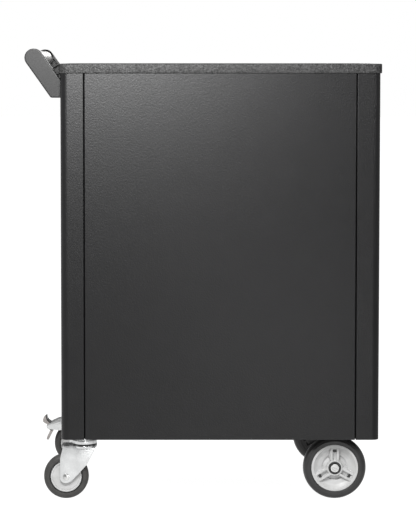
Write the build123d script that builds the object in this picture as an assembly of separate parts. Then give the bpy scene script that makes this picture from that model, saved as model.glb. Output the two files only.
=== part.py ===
from build123d import *
import os
from math import cos, radians, sin

# A rolling tool chest: a sheet-metal cabinet with six drawers, a push handle on one side,
# two swivel casters under the handle and two larger fixed wheels at the other side.
#
# Millimetres. Z is up from the floor. The drawers open towards -Y, the plain back faces +Y and the
# handle is on the +X side. Every function places its piece from the cabinet's own centre line;
# export_node then moves it to the row frame, whose origin is the centre of the whole outline.

# ---- Driving dimensions -------------------------------------------------------------------------
CABINET_WIDTH = 700.0
CABINET_DEPTH = 500.0
CABINET_BOTTOM = 139.0
WORKTOP_TOP = 966.0
WORKTOP_THICKNESS = 21.0
WORKTOP_OVERHANG = 3.5
WORKTOP_CORNER = 18.0
WORKTOP_EDGE = 2.0
WORKTOP_RIM = 16.0
MAT_RECESS = 4.0
MAT_THICKNESS = 3.0
MAT_CORNER = 8.0
MAT_GAP = 0.5
SHEET = 1.2
FIT = 0.3
CLEAR = 1.0
BEND = 2.4
CORNER_RADIUS = 16.0

HALF_WIDTH = CABINET_WIDTH / 2
HALF_DEPTH = CABINET_DEPTH / 2
CABINET_TOP = WORKTOP_TOP - WORKTOP_THICKNESS

# The seams between the back panel and the side panels, and the front posts.
STRIP_WIDTH = 51.0
SEAM_GAP = 2.0
SEAM_BEND = 1.6
SEAM_DEPTH = 14.0
JOGGLE = 23.0
PANEL_GAP = 0.2
POST_WIDTH = 42.0
POST_RETURN = 18.0
SEAM_OUTER = HALF_WIDTH - STRIP_WIDTH
SEAM_INNER = SEAM_OUTER - SEAM_GAP
DOORWAY = HALF_WIDTH - POST_WIDTH

# Base pan and top frame.
BASE_PLATE = 2.0
BASE_TOP = 152.0
BASE_FRONT_TOP = 158.0
FRAME_SKIRT = 20.0
TOP_RAIL = 30.0
RAIL_BOTTOM = CABINET_TOP - TOP_RAIL
PAN_BACK = HALF_DEPTH - SEAM_DEPTH - 2.0
TONGUE_BACK = -HALF_DEPTH + POST_RETURN + 0.5
FRAME_HALF = DOORWAY - 0.5
RAIL_RETURN = -236.0

# Drawers: the opening is shared out in equal modules, top drawer first.
DRAWER_MODULES = (1, 1, 1, 2, 2, 3)
DRAWER_GAP = 3.0
DRAWER_SIDE_GAP = 2.0
DRAWER_SHEET = 1.0
TRAY_HALF_WIDTH = 285.0
TRAY_FRONT = -232.0
TRAY_LENGTH = 400.0
TRAY_LIFT = 6.0
TRAY_TOP_DROP = 10.0
FACE_Y = -HALF_DEPTH - 1.0
GRIP_HEIGHT = 32.0
GRIP_WALL_Y = -235.5
PULL_THICKNESS = 2.2
PULL_LIP = 14.0
PULL_LEG = 16.0
PULL_FRONT = -HALF_DEPTH - WORKTOP_OVERHANG
MODULE = (RAIL_BOTTOM - BASE_FRONT_TOP) / sum(DRAWER_MODULES)

# Telescopic slides: each member is (gap from the drawer's side to its web's far face, half height).
SLIDE_THICKNESS = 12.7
SLIDE_OUTER_HALF = 22.0
SLIDE_MIDDLE_HALF = 18.5
SLIDE_INNER_HALF = 14.5
SLIDE_MIDDLE_BACK = 9.2
SLIDE_INNER_LIP = 7.0
SLIDE_OUTER_LIP = 3.5
SLIDE_MIDDLE_LIP = 2.0
SLIDE_SHEET = 1.2
SLIDE_FRONT = -230.0
SLIDE_LIFT = 34.0
UPRIGHT_WIDTH = 44.0
UPRIGHT_FRONT_Y = -212.0
UPRIGHT_REAR_Y = 122.0
UPRIGHT_SHEET = 1.5

# Lock: the turning plug lifts a bar whose hooks hold a catch on every drawer.
LOCK_X = 278.0
LOCK_Z = 930.0
LOCK_LIFT = 8.0
LOCK_BORE = 6.0
LOCK_RUN = 0.05
LOCK_BARREL = 9.0
BAR_INNER_X = 302.2
BAR_THICKNESS = 3.0
BAR_FRONT_Y = -230.0
BAR_BACK_Y = -217.0
HOOK_FRONT_Y = -227.0
HOOK_BACK_Y = -221.5
HOOK_MOUTH = 16.0
HOOK_DROP = 8.0
CAM_RADIUS = 9.0
CAM_BACK_Y = -226.0
PIN_RADIUS = 2.0
PIN_RUN = 0.4
PIN_BACK_Y = -220.5
HEAD_Y = (-224.0, -221.0)
HEAD_REACH = (4.0, 12.0)
KEYWAY = (0.7, 3.6)
KEYWAY_DEPTH = 14.0
KEY_FACE_Y = -HALF_DEPTH - 2.5
BARREL_BACK_Y = -229.0
FLANGE = 2.0
GUIDE_WALL = 2.0
GUIDE_HEIGHT = 20.0
GUIDE_HEIGHTS = (250.0, 450.0, 600.0)
CATCH_LIFT = 16.0
CATCH_ROOT_Y = -245.0
CATCH_WIDTH = 2.0

# Handle: moulded brackets with a round tube between them.
HANDLE_X = 410.0
HANDLE_Z = 979.0
HANDLE_END_RADIUS = 20.0
HANDLE_LEAN = 35.2
TUBE_RADIUS = 16.0
TUBE_WALL = 2.0
BRACKET_FOOT = 891.0
BRACKET_OUTER_Y = 210.0
BRACKET_THICKNESS = 24.0
BRACKET_SKIN = 5.0
BRACKET_WALL = 4.0
BRACKET_BOSS = 16.0
BRACKET_BOLT_Z = (900.0, 917.0)
BRACKET_HEEL = 6.0
BRACKET_BEVEL = 1.5
HANDLE_BOLT = 3.0
HANDLE_BOLT_DEPTH = 12.0

# Running gear.
TRACK_Y = 200.0
CASTER_X = 301.0
CASTER_TRAIL = 40.0
CASTER_RADIUS = 50.0
CASTER_WIDTH = 30.0
CASTER_RIM = 34.0
FORK_INNER = 19.0
FORK_SHEET = 2.5
FORK_TOP = 120.5
KINGPIN = 6.0
CUP_RADIUS = 28.5
RACE_RADIUS = 24.5
PLATE_BOTTOM = 147.0
AXLE_BOLT = 4.0
RUNNING = 0.05
PEDAL_X = 45.0
PEDAL_Z = 109.0
BALL_RADIUS = 3.0
BALL_CIRCLE = 18.0
BALL_COUNT = 12
RACE_FLOOR = 124.5

FIXED_X = -255.5
FIXED_RADIUS = 70.0
FIXED_WIDTH = 38.0
FIXED_RIM = 52.0
AXLE_RADIUS = 7.0
BEARING_RADIUS = 14.0
BRACKET_PLATE_Y = 170.0
BRACKET_PLATE = 4.0
BOLT_RADIUS = 4.0
PLATE_HALF = (42.0, 29.0)
BOLT_INSET = 8.0

# The row frame's origin, seen from the cabinet's centre line.
ORIGIN_X = (HANDLE_X + HANDLE_END_RADIUS - HALF_WIDTH - WORKTOP_OVERHANG) / 2

SIDES = (1, -1)


# ---- Helpers ------------------------------------------------------------------------------------
def fold_section(points, radii, thickness):
    """Section of a folded sheet. Its visible face follows points; the metal lies to their right."""
    path = [Vector(*point) for point in points]
    headings = [(after - before).normalized() for before, after in zip(path, path[1:])]
    rights = [Vector(heading.Y, -heading.X) for heading in headings]
    inner = [path[0] + rights[0] * thickness]
    inner_radii = []
    for corner, before, after, radius in zip(path[1:-1], headings, headings[1:], radii):
        turns_right = before.cross(after).Z < 0
        right_before = Vector(before.Y, -before.X)
        right_after = Vector(after.Y, -after.X)
        inner.append(corner + (right_before + right_after) * thickness)
        inner_radii.append(radius - thickness if turns_right else radius + thickness)
    inner.append(path[-1] + rights[-1] * thickness)
    visible = FilletPolyline(*path, radius=list(radii))
    hidden = FilletPolyline(*inner, radius=inner_radii)
    ends = [Line(path[0], inner[0]), Line(path[-1], inner[-1])]
    return make_face([*visible.edges(), *hidden.edges(), *ends])


def along_x(section, x_low, x_high):
    """Extrudes a section drawn in (Y, Z) from x_low to x_high."""
    return Plane.YZ.offset(x_low) * extrude(section, x_high - x_low)


def along_y(section, y_low, y_high):
    """Extrudes a section drawn in (X, Z) from y_low to y_high."""
    return Plane.XZ.offset(-y_high) * extrude(section, y_high - y_low)


def along_z(section, z_low, z_high):
    """Extrudes a plan drawn in (X, Y) from z_low to z_high."""
    return Pos(0, 0, z_low) * extrude(section, z_high - z_low)


def block(x_range, y_range, z_range):
    """A rectangular block between three pairs of limits."""
    size = [high - low for low, high in (x_range, y_range, z_range)]
    centre = [(high + low) / 2 for low, high in (x_range, y_range, z_range)]
    return Pos(*centre) * Box(*size)


def rod_y(x, z, radius, y_low, y_high):
    """A round bar along Y."""
    return Pos(x, (y_low + y_high) / 2, z) * Rot(90, 0, 0) * Cylinder(radius, y_high - y_low)


def rod_x(y, z, radius, x_low, x_high):
    """A round bar along X."""
    return Pos((x_low + x_high) / 2, y, z) * Rot(0, 90, 0) * Cylinder(radius, x_high - x_low)


def rod_z(x, y, radius, z_low, z_high):
    """A round bar along Z."""
    return Pos(x, y, (z_low + z_high) / 2) * Cylinder(radius, z_high - z_low)


def disc_at(x, z, radius):
    """The outline of a circle, as one edge, for a hull drawn in (X, Z)."""
    return (Pos(x, z) * Circle(radius)).edge()


def ring_profile(points, x, z, y):
    """Turns a closed outline of (radius, Y offset) points about the Y axis through (x, z)."""
    outline = make_face(Polyline(*points, close=True).edges())
    turned = revolve(Plane.XY * outline, Axis.Y, 360)
    return Pos(x, y, z) * turned


def outward(shape, side):
    """The shape as drawn on the +X side, or its mirror image on the -X side."""
    return shape if side > 0 else mirror(shape, Plane.YZ)


def export_node(name, *solids):
    """Writes one node, moved from the cabinet's centre line to the row frame."""
    shape = solids[0] if len(solids) == 1 else Compound(children=[*solids])
    placed = Pos(-ORIGIN_X, 0, 0) * shape
    flat = Compound(children=[*placed.solids()]) if len(placed.solids()) > 1 else placed.solid()
    flat.label = name
    export_step(flat, os.path.join("parts", name + ".step"))


# ---- Cabinet ------------------------------------------------------------------------------------
def side_panel(side):
    """One side sheet: it wraps round the rounded back corner to the seam and round the front post."""
    seam_floor = HALF_DEPTH - SEAM_DEPTH
    outline = [
        (SEAM_OUTER + JOGGLE, seam_floor),
        (SEAM_OUTER, seam_floor),
        (SEAM_OUTER, HALF_DEPTH),
        (HALF_WIDTH, HALF_DEPTH),
        (HALF_WIDTH, -HALF_DEPTH),
        (DOORWAY, -HALF_DEPTH),
        (DOORWAY, -HALF_DEPTH + POST_RETURN),
    ]
    radii = (BEND, SEAM_BEND, CORNER_RADIUS, CORNER_RADIUS, BEND)
    sheet = along_z(fold_section(outline, radii, SHEET), CABINET_BOTTOM, CABINET_TOP)
    if side > 0:
        for y in bracket_bolt_rows():
            for z in BRACKET_BOLT_Z:
                sheet -= rod_x(y, z, HANDLE_BOLT + 0.2, HALF_WIDTH - 5, HALF_WIDTH + 5)
    return outward(sheet, side)


def back_panel():
    """The plain back sheet, with a joggled flange along both seams."""
    lip = HALF_DEPTH - SEAM_DEPTH - PANEL_GAP
    reach = SEAM_INNER + JOGGLE + 2.0
    outline = [
        (-reach, lip),
        (-SEAM_INNER, lip),
        (-SEAM_INNER, HALF_DEPTH),
        (SEAM_INNER, HALF_DEPTH),
        (SEAM_INNER, lip),
        (reach, lip),
    ]
    section = fold_section(outline, (BEND, SEAM_BEND, SEAM_BEND, BEND), SHEET)
    return along_z(section, CABINET_BOTTOM, CABINET_TOP)


def floor_plan(inset):
    """Plan of the base pan and the top frame: full width, with a tongue between the front posts."""
    side = HALF_WIDTH - SHEET - FIT - inset
    tongue = FRAME_HALF - inset
    front = -HALF_DEPTH + inset
    outline = [
        (-side, PAN_BACK - inset),
        (side, PAN_BACK - inset),
        (side, TONGUE_BACK + inset),
        (tongue, TONGUE_BACK + inset),
        (tongue, front),
        (-tongue, front),
        (-tongue, TONGUE_BACK + inset),
        (-side, TONGUE_BACK + inset),
    ]
    return make_face(Polyline(*outline, close=True).edges())


def base_pan():
    """The floor of the cabinet, turned down all round, with the kick rail under the last drawer."""
    pan = along_z(floor_plan(0), CABINET_BOTTOM + 1, BASE_TOP)
    pan -= along_z(floor_plan(BASE_PLATE), CABINET_BOTTOM, BASE_TOP - BASE_PLATE)
    kick_top = BASE_FRONT_TOP - DRAWER_GAP / 2
    kick = block(
        (-FRAME_HALF, FRAME_HALF), (-HALF_DEPTH, -HALF_DEPTH + BASE_PLATE), (CABINET_BOTTOM, kick_top)
    )
    pan += kick
    for x, y in base_bolts():
        pan -= rod_z(x, y, BOLT_RADIUS, CABINET_BOTTOM, BASE_TOP + 1)
    return pan


def top_frame():
    """The steel frame under the worktop, with the front rail that carries the lock."""
    frame = along_z(floor_plan(0), CABINET_TOP - FRAME_SKIRT, CABINET_TOP)
    frame -= along_z(floor_plan(SHEET), CABINET_TOP - FRAME_SKIRT - 1, CABINET_TOP - SHEET)
    rail = fold_section(
        [(RAIL_RETURN, RAIL_BOTTOM), (-HALF_DEPTH, RAIL_BOTTOM), (-HALF_DEPTH, CABINET_TOP)], (BEND,), SHEET
    )
    frame += along_x(rail, -FRAME_HALF, FRAME_HALF)
    return frame - rod_y(LOCK_X, LOCK_Z, LOCK_BARREL, -HALF_DEPTH - 5, -HALF_DEPTH + 5)


def worktop():
    """The moulded top: rounded at the corners, with a shallow tray for the mat."""
    width = CABINET_WIDTH + 2 * WORKTOP_OVERHANG
    depth = CABINET_DEPTH + 2 * WORKTOP_OVERHANG
    slab = along_z(RectangleRounded(width, depth, WORKTOP_CORNER), CABINET_TOP, WORKTOP_TOP)
    top_edges = slab.edges().group_by(Axis.Z)[-1]
    slab = fillet(top_edges, WORKTOP_EDGE)
    tray = RectangleRounded(width - 2 * WORKTOP_RIM, depth - 2 * WORKTOP_RIM, MAT_CORNER)
    return slab - along_z(tray, WORKTOP_TOP - MAT_RECESS, WORKTOP_TOP + CLEAR)


def worktop_mat():
    """The loose rubber mat that lies in the worktop's tray."""
    inset = WORKTOP_RIM + MAT_GAP - WORKTOP_OVERHANG
    width = CABINET_WIDTH - 2 * inset
    depth = CABINET_DEPTH - 2 * inset
    bottom = WORKTOP_TOP - MAT_RECESS
    plan = RectangleRounded(width, depth, MAT_CORNER - MAT_GAP)
    return along_z(plan, bottom, bottom + MAT_THICKNESS)


def slide_uprights():
    """Four channels inside the side panels. The slides hook on to their webs."""
    web = TRAY_HALF_WIDTH + SLIDE_THICKNESS
    wall = HALF_WIDTH - SHEET - PANEL_GAP
    channels = []
    for y in (UPRIGHT_FRONT_Y, UPRIGHT_REAR_Y):
        outline = [(wall, y), (web, y), (web, y + UPRIGHT_WIDTH), (wall, y + UPRIGHT_WIDTH)]
        channel = fold_section(outline, (BEND, BEND), UPRIGHT_SHEET)
        upright = along_z(channel, BASE_TOP, CABINET_TOP - FRAME_SKIRT - PANEL_GAP)
        channels += [outward(upright, side) for side in SIDES]
    return channels


# ---- Drawers ------------------------------------------------------------------------------------
def drawer_spans():
    """The lowest point and the height of every drawer front, top drawer first."""
    spans = []
    top = RAIL_BOTTOM
    for modules in DRAWER_MODULES:
        height = modules * MODULE
        spans.append((top - height + DRAWER_GAP / 2, height - DRAWER_GAP))
        top -= height
    return spans


def slide_member(points, low, side):
    """One member of a telescopic slide, from its (gap, height) section, for the slide at low."""
    drawn = [(TRAY_HALF_WIDTH + gap, low + SLIDE_LIFT + height) for gap, height in points]
    section = fold_section(drawn, (2.0, 2.0), SLIDE_SHEET)
    return outward(along_y(section, SLIDE_FRONT, SLIDE_FRONT + TRAY_LENGTH), side)


def outer_member(low, side):
    """The slide member fixed to the uprights."""
    half = SLIDE_OUTER_HALF
    points = [
        (SLIDE_OUTER_LIP, half),
        (SLIDE_THICKNESS, half),
        (SLIDE_THICKNESS, -half),
        (SLIDE_OUTER_LIP, -half),
    ]
    return slide_member(points, low, side)


def middle_member(low, side):
    """The slide member that travels half as far as the drawer."""
    half = SLIDE_MIDDLE_HALF
    points = [
        (SLIDE_MIDDLE_LIP, half),
        (SLIDE_MIDDLE_BACK, half),
        (SLIDE_MIDDLE_BACK, -half),
        (SLIDE_MIDDLE_LIP, -half),
    ]
    return slide_member(points, low, side)


def inner_member(low, side):
    """The slide member screwed to the drawer's side."""
    half = SLIDE_INNER_HALF
    points = [(SLIDE_INNER_LIP, -half), (0, -half), (0, half), (SLIDE_INNER_LIP, half)]
    return slide_member(points, low, side)


def drawer_tray(low, height):
    """The open steel box of one drawer."""
    floor = low + TRAY_LIFT
    rim = low + height - TRAY_TOP_DROP
    half = TRAY_HALF_WIDTH
    back = TRAY_FRONT + TRAY_LENGTH
    skin = DRAWER_SHEET
    box = block((-half, half), (TRAY_FRONT, back), (floor, rim))
    hollow = block(
        (-half + skin, half - skin), (TRAY_FRONT + skin, back - skin), (floor + skin, rim + 1)
    )
    return box - hollow


def catch_outline(low):
    """Side view of the hook on a drawer front that the lock bar holds, in (Y, Z)."""
    base = low + CATCH_LIFT
    under, top, tip = base + 10.0, base + 14.0, base + 3.0
    tooth_front, tooth_back = HOOK_FRONT_Y + 1.0, HOOK_BACK_Y - 1.5
    return [
        (CATCH_ROOT_Y, under),
        (tooth_front, under),
        (tooth_front, tip),
        (tooth_back, tip),
        (tooth_back, top),
        (CATCH_ROOT_Y, top),
    ]


def drawer_front(low, height):
    """The folded front: a flat face below and a finger channel above, closed at both ends."""
    half = DOORWAY - DRAWER_SIDE_GAP
    ledge = low + height - GRIP_HEIGHT
    top = low + height
    back = TRAY_FRONT - 0.2
    outline = [
        (back, low),
        (FACE_Y, low),
        (FACE_Y, ledge),
        (GRIP_WALL_Y, ledge),
        (GRIP_WALL_Y, top),
    ]
    front = along_x(fold_section(outline, (BEND, 3.0, 2.0), SHEET), -half, half)
    corners = ((back, low), (FACE_Y, low), (FACE_Y, top), (back, top))
    cheek = make_face(Polyline(*corners, close=True).edges())
    front += along_x(cheek, half - SHEET, half)
    front += along_x(cheek, -half, -half + SHEET)
    catch = make_face(Polyline(*catch_outline(low), close=True).edges())
    return front + along_x(catch, half - SHEET - CATCH_WIDTH, half - SHEET)


def drawer_pull(low, height):
    """The extruded grip along the top of a drawer front: top plate, finger lip and fixing leg."""
    half = DOORWAY - DRAWER_SIDE_GAP - SHEET
    top = low + height
    outline = [
        (PULL_FRONT, top - PULL_LIP),
        (PULL_FRONT, top),
        (GRIP_WALL_Y, top),
        (GRIP_WALL_Y, top - PULL_LEG),
    ]
    return along_x(fold_section(outline, (4.0, BEND), PULL_THICKNESS), -half, half)


# ---- Lock ---------------------------------------------------------------------------------------
def lock_housing():
    """The fixed barrel of the lock, with its flange on the front rail."""
    flange = rod_y(LOCK_X, LOCK_Z, LOCK_BARREL + 3, -HALF_DEPTH - FLANGE, -HALF_DEPTH)
    barrel = rod_y(LOCK_X, LOCK_Z, LOCK_BARREL, -HALF_DEPTH, BARREL_BACK_Y)
    return flange + barrel - rod_y(LOCK_X, LOCK_Z, LOCK_BORE, -HALF_DEPTH - 5, BARREL_BACK_Y + 5)


def lock_plug():
    """The turning plug, its keyway and, behind the barrel, a cam disc with the pin that lifts the bar."""
    plug = rod_y(LOCK_X, LOCK_Z, LOCK_BORE - LOCK_RUN, KEY_FACE_Y, BARREL_BACK_Y + 1)
    plug += rod_y(LOCK_X, LOCK_Z, CAM_RADIUS, BARREL_BACK_Y + 0.5, CAM_BACK_Y)
    reach = LOCK_LIFT / 2
    plug += rod_y(LOCK_X - reach, LOCK_Z - reach, PIN_RADIUS, CAM_BACK_Y - 0.5, PIN_BACK_Y)
    keyway = block(
        (LOCK_X - KEYWAY[0], LOCK_X + KEYWAY[0]),
        (KEY_FACE_Y - CLEAR, KEY_FACE_Y + KEYWAY_DEPTH),
        (LOCK_Z - KEYWAY[1], LOCK_Z + KEYWAY[1]),
    )
    return plug - keyway


def lock_bar():
    """The lifting bar: one hooked notch for each drawer, and a slotted crosshead for the cam pin."""
    outer_x = BAR_INNER_X + BAR_THICKNESS
    top = LOCK_Z + HEAD_REACH[0]
    bar = block((BAR_INNER_X, outer_x), (BAR_FRONT_Y, BAR_BACK_Y), (BASE_FRONT_TOP + 4, top))
    through = (BAR_INNER_X - CLEAR, outer_x + CLEAR)
    for low, _ in drawer_spans():
        base = low + CATCH_LIFT
        bar -= block(through, (BAR_FRONT_Y - CLEAR, HOOK_FRONT_Y), (base, base + HOOK_MOUTH))
        bar -= block(through, (HOOK_FRONT_Y, HOOK_BACK_Y), (base - HOOK_DROP, base + HOOK_MOUTH))
    bar += block((LOCK_X - HEAD_REACH[1], outer_x), HEAD_Y, (LOCK_Z - HEAD_REACH[1], top))
    reach = LOCK_LIFT / 2
    half_slot = PIN_RADIUS + PIN_RUN
    slot = block(
        (LOCK_X - reach - half_slot - 2, LOCK_X + half_slot - reach),
        (BAR_FRONT_Y, BAR_BACK_Y + 2),
        (LOCK_Z - reach - half_slot, LOCK_Z - reach + half_slot),
    )
    return bar - slot


def lock_bar_guides():
    """Clips on the front upright that keep the lock bar straight."""
    back_y = BAR_BACK_Y + 0.1
    inner, outer = BAR_INNER_X - 0.3, BAR_INNER_X + BAR_THICKNESS + 0.4
    clips = []
    for z in GUIDE_HEIGHTS:
        clip = block(
            (inner - GUIDE_WALL, outer + GUIDE_WALL),
            (BAR_FRONT_Y + CLEAR, UPRIGHT_FRONT_Y),
            (z, z + GUIDE_HEIGHT),
        )
        clip -= block(
            (inner, outer), (BAR_FRONT_Y - CLEAR, back_y), (z - CLEAR, z + GUIDE_HEIGHT + CLEAR)
        )
        clips.append(clip)
    return clips


# ---- Handle -------------------------------------------------------------------------------------
def bracket_bolt_rows():
    """Y of the bolt line in both handle brackets."""
    middle = BRACKET_OUTER_Y - BRACKET_THICKNESS / 2
    return (middle, -middle)


def bracket_outline():
    """Side view of a handle bracket: a foot on the cabinet, a leaning arm and a round end."""
    lean_x, lean_z = sin(radians(HANDLE_LEAN)), cos(radians(HANDLE_LEAN))
    outer = (HANDLE_X + HANDLE_END_RADIUS * lean_z, HANDLE_Z - HANDLE_END_RADIUS * lean_x)
    inner = (HANDLE_X - HANDLE_END_RADIUS * lean_z, HANDLE_Z + HANDLE_END_RADIUS * lean_x)
    tip = (HANDLE_X + HANDLE_END_RADIUS * lean_x, HANDLE_Z + HANDLE_END_RADIUS * lean_z)
    foot_run = (outer[1] - BRACKET_FOOT) / lean_z
    foot = (outer[0] - foot_run * lean_x, BRACKET_FOOT)
    shoulder_run = (inner[0] - HALF_WIDTH) / lean_x
    shoulder = (HALF_WIDTH, inner[1] - shoulder_run * lean_z)
    outline = make_face(
        [
            Line((HALF_WIDTH, BRACKET_FOOT), foot),
            Line(foot, outer),
            ThreePointArc(outer, tip, inner),
            Line(inner, shoulder),
            Line(shoulder, (HALF_WIDTH, BRACKET_FOOT)),
        ]
    )
    heel = outline.vertices().sort_by(Axis.Y)[:2].sort_by(Axis.X)[-1]
    return fillet(heel, BRACKET_HEEL)


def handle_bracket(side):
    """A moulded bracket, smooth outside and hollow on its inner face, with a socket for the tube."""
    outline = bracket_outline()
    inner_y = BRACKET_OUTER_Y - BRACKET_THICKNESS
    pocket_end = BRACKET_OUTER_Y - BRACKET_SKIN
    body = along_y(outline, inner_y, BRACKET_OUTER_Y)
    outer_rim = body.faces().sort_by(Axis.Y)[-1].edges()
    body = chamfer(outer_rim.filter_by(lambda edge: edge.center().X > HALF_WIDTH + 1), BRACKET_BEVEL)
    boss_edge = HALF_WIDTH + BRACKET_BOSS
    beside = Pos((boss_edge + 600) / 2, HANDLE_Z) * Rectangle(600 - boss_edge, 400)
    pocket = offset(outline, -BRACKET_WALL) & beside
    pocket -= Pos(HANDLE_X, HANDLE_Z) * Circle(TUBE_RADIUS + BRACKET_WALL)
    body -= along_y(pocket, inner_y - 1, pocket_end)
    body -= rod_y(HANDLE_X, HANDLE_Z, TUBE_RADIUS, inner_y - 1, pocket_end)
    row = bracket_bolt_rows()[0]
    for z in BRACKET_BOLT_Z:
        body -= rod_x(row, z, HANDLE_BOLT, HALF_WIDTH - CLEAR, HALF_WIDTH + HANDLE_BOLT_DEPTH)
    return body if side > 0 else mirror(body, Plane.XZ)


def handle_tube():
    """The push bar, held in both brackets' sockets."""
    end = BRACKET_OUTER_Y - BRACKET_SKIN - 0.5
    tube = rod_y(HANDLE_X, HANDLE_Z, TUBE_RADIUS, -end, end)
    return tube - rod_y(HANDLE_X, HANDLE_Z, TUBE_RADIUS - TUBE_WALL, -end - 1, end + 1)


# ---- Running gear -------------------------------------------------------------------------------
def plate_bolts(side):
    """Centres of the four bolts through one caster's plate."""
    reach_x = PLATE_HALF[0] - BOLT_INSET
    reach_y = PLATE_HALF[1] - BOLT_INSET
    return [
        (CASTER_X + dx, side * TRACK_Y + dy) for dx in (-reach_x, reach_x) for dy in (-reach_y, reach_y)
    ]


def axle_bracket_bolts(side):
    """Centres of the two bolts through one axle bracket's flange."""
    return [(FIXED_X + dx, side * (BRACKET_PLATE_Y - 22.0)) for dx in (-20.0, 20.0)]


def base_bolts():
    """Centres of every bolt through the base pan."""
    return [point for side in SIDES for point in plate_bolts(side) + axle_bracket_bolts(side)]


def caster_plate(side):
    """Mounting plate, upper ball race and kingpin of one swivel caster."""
    y = side * TRACK_Y
    pan_bottom = BASE_TOP - BASE_PLATE
    plan = Pos(CASTER_X, y) * RectangleRounded(2 * PLATE_HALF[0], 2 * PLATE_HALF[1], 8.0)
    plate = along_z(plan, PLATE_BOTTOM, pan_bottom)
    race_bottom = RACE_FLOOR + 2 * BALL_RADIUS + 2 * RUNNING
    plate += rod_z(CASTER_X, y, RACE_RADIUS, race_bottom, PLATE_BOTTOM)
    plate += rod_z(CASTER_X, y, KINGPIN, 112.0, race_bottom)
    plate += rod_z(CASTER_X, y, 10.0, 109.0, 116.0)
    for x, bolt_y in plate_bolts(side):
        plate -= rod_z(x, bolt_y, BOLT_RADIUS, PLATE_BOTTOM - 1, pan_bottom + 1)
    return plate


def fork_leg():
    """Side view of a fork leg, from the swivel axis: wide at the crown, round at the axle."""
    return make_hull(
        [
            Line((-26.0, FORK_TOP), (46.0, FORK_TOP)),
            disc_at(49.5, 93.0, 3.5),
            disc_at(CASTER_TRAIL, CASTER_RADIUS, 13.0),
            disc_at(3.0, 73.0, 8.0),
        ]
    )


def caster_fork(side):
    """The pressed fork of one swivel caster: crown, lower race cup and two legs."""
    y = side * TRACK_Y
    crown_bottom = FORK_TOP - FORK_SHEET
    outer = FORK_INNER + FORK_SHEET
    crown = Pos(10.0, 0) * Rectangle(72.0, 2 * outer) + Circle(CUP_RADIUS)
    fork = along_z(crown, crown_bottom, FORK_TOP)
    fork += rod_z(0, 0, CUP_RADIUS, FORK_TOP, 132.0)
    leg = fork_leg()
    for y_low in (FORK_INNER, -outer):
        fork += along_y(leg, y_low, y_low + FORK_SHEET)
    fork -= rod_z(0, 0, RACE_RADIUS + 1.5, RACE_FLOOR, 140.0)
    fork -= rod_z(0, 0, KINGPIN + RUNNING, 100.0, 140.0)
    fork -= rod_y(CASTER_TRAIL, CASTER_RADIUS, AXLE_BOLT, -30, 30)
    if side < 0:
        fork -= rod_y(PEDAL_X, PEDAL_Z, 3.0, -30, 30)
    return Pos(CASTER_X, y, 0) * fork


def swivel_balls():
    """The ring of balls between the two races of each swivel caster."""
    balls = []
    for side in SIDES:
        for index in range(BALL_COUNT):
            turn = radians(360 * index / BALL_COUNT)
            x, y = CASTER_X + BALL_CIRCLE * cos(turn), side * TRACK_Y + BALL_CIRCLE * sin(turn)
            balls.append(Pos(x, y, RACE_FLOOR + BALL_RADIUS + RUNNING) * Sphere(BALL_RADIUS))
    return balls


def caster_axle(side):
    """The axle bolt of one caster with its head and nut; the braked one adds the pedal's pin."""
    x, y = CASTER_X + CASTER_TRAIL, side * TRACK_Y
    face = FORK_INNER + FORK_SHEET
    bolt = rod_y(x, CASTER_RADIUS, AXLE_BOLT, y - face, y + face)
    head = RegularPolygon(7.0, 6)
    for low in (face, -face - 4.5):
        bolt += Pos(x, 0, CASTER_RADIUS) * along_y(head, y + low, y + low + 4.5)
    if side > 0:
        return [bolt]
    pin_x = CASTER_X + PEDAL_X
    pin = rod_y(pin_x, PEDAL_Z, 3.0, y - face - 1.5, y + face + 1.5)
    return [bolt, pin]


def caster_rim(side):
    """The grey moulded wheel centre of a caster, turned about its axle."""
    half = CASTER_WIDTH / 2
    bore = AXLE_BOLT + RUNNING
    points = [
        (bore, -FORK_INNER + 0.5),
        (10.0, -FORK_INNER + 0.5),
        (10.5, -half + 3.5),
        (29.0, -half + 2.5),
        (31.0, -half + 1.0),
        (CASTER_RIM, -half + 1.0),
        (CASTER_RIM, half - 1.0),
        (31.0, half - 1.0),
        (29.0, half - 2.5),
        (10.5, half - 3.5),
        (10.0, FORK_INNER - 0.5),
        (bore, FORK_INNER - 0.5),
    ]
    return ring_profile(points, CASTER_X + CASTER_TRAIL, CASTER_RADIUS, side * TRACK_Y)


def caster_tyre(side):
    """The rubber tread of a caster, with rounded shoulders."""
    half = CASTER_WIDTH / 2
    points = [
        (CASTER_RIM, -half),
        (43.0, -half),
        (47.5, -half + 3.0),
        (49.6, -half + 8.0),
        (CASTER_RADIUS, 0),
        (49.6, half - 8.0),
        (47.5, half - 3.0),
        (43.0, half),
        (CASTER_RIM, half),
    ]
    return ring_profile(points, CASTER_X + CASTER_TRAIL, CASTER_RADIUS, side * TRACK_Y)


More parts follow.
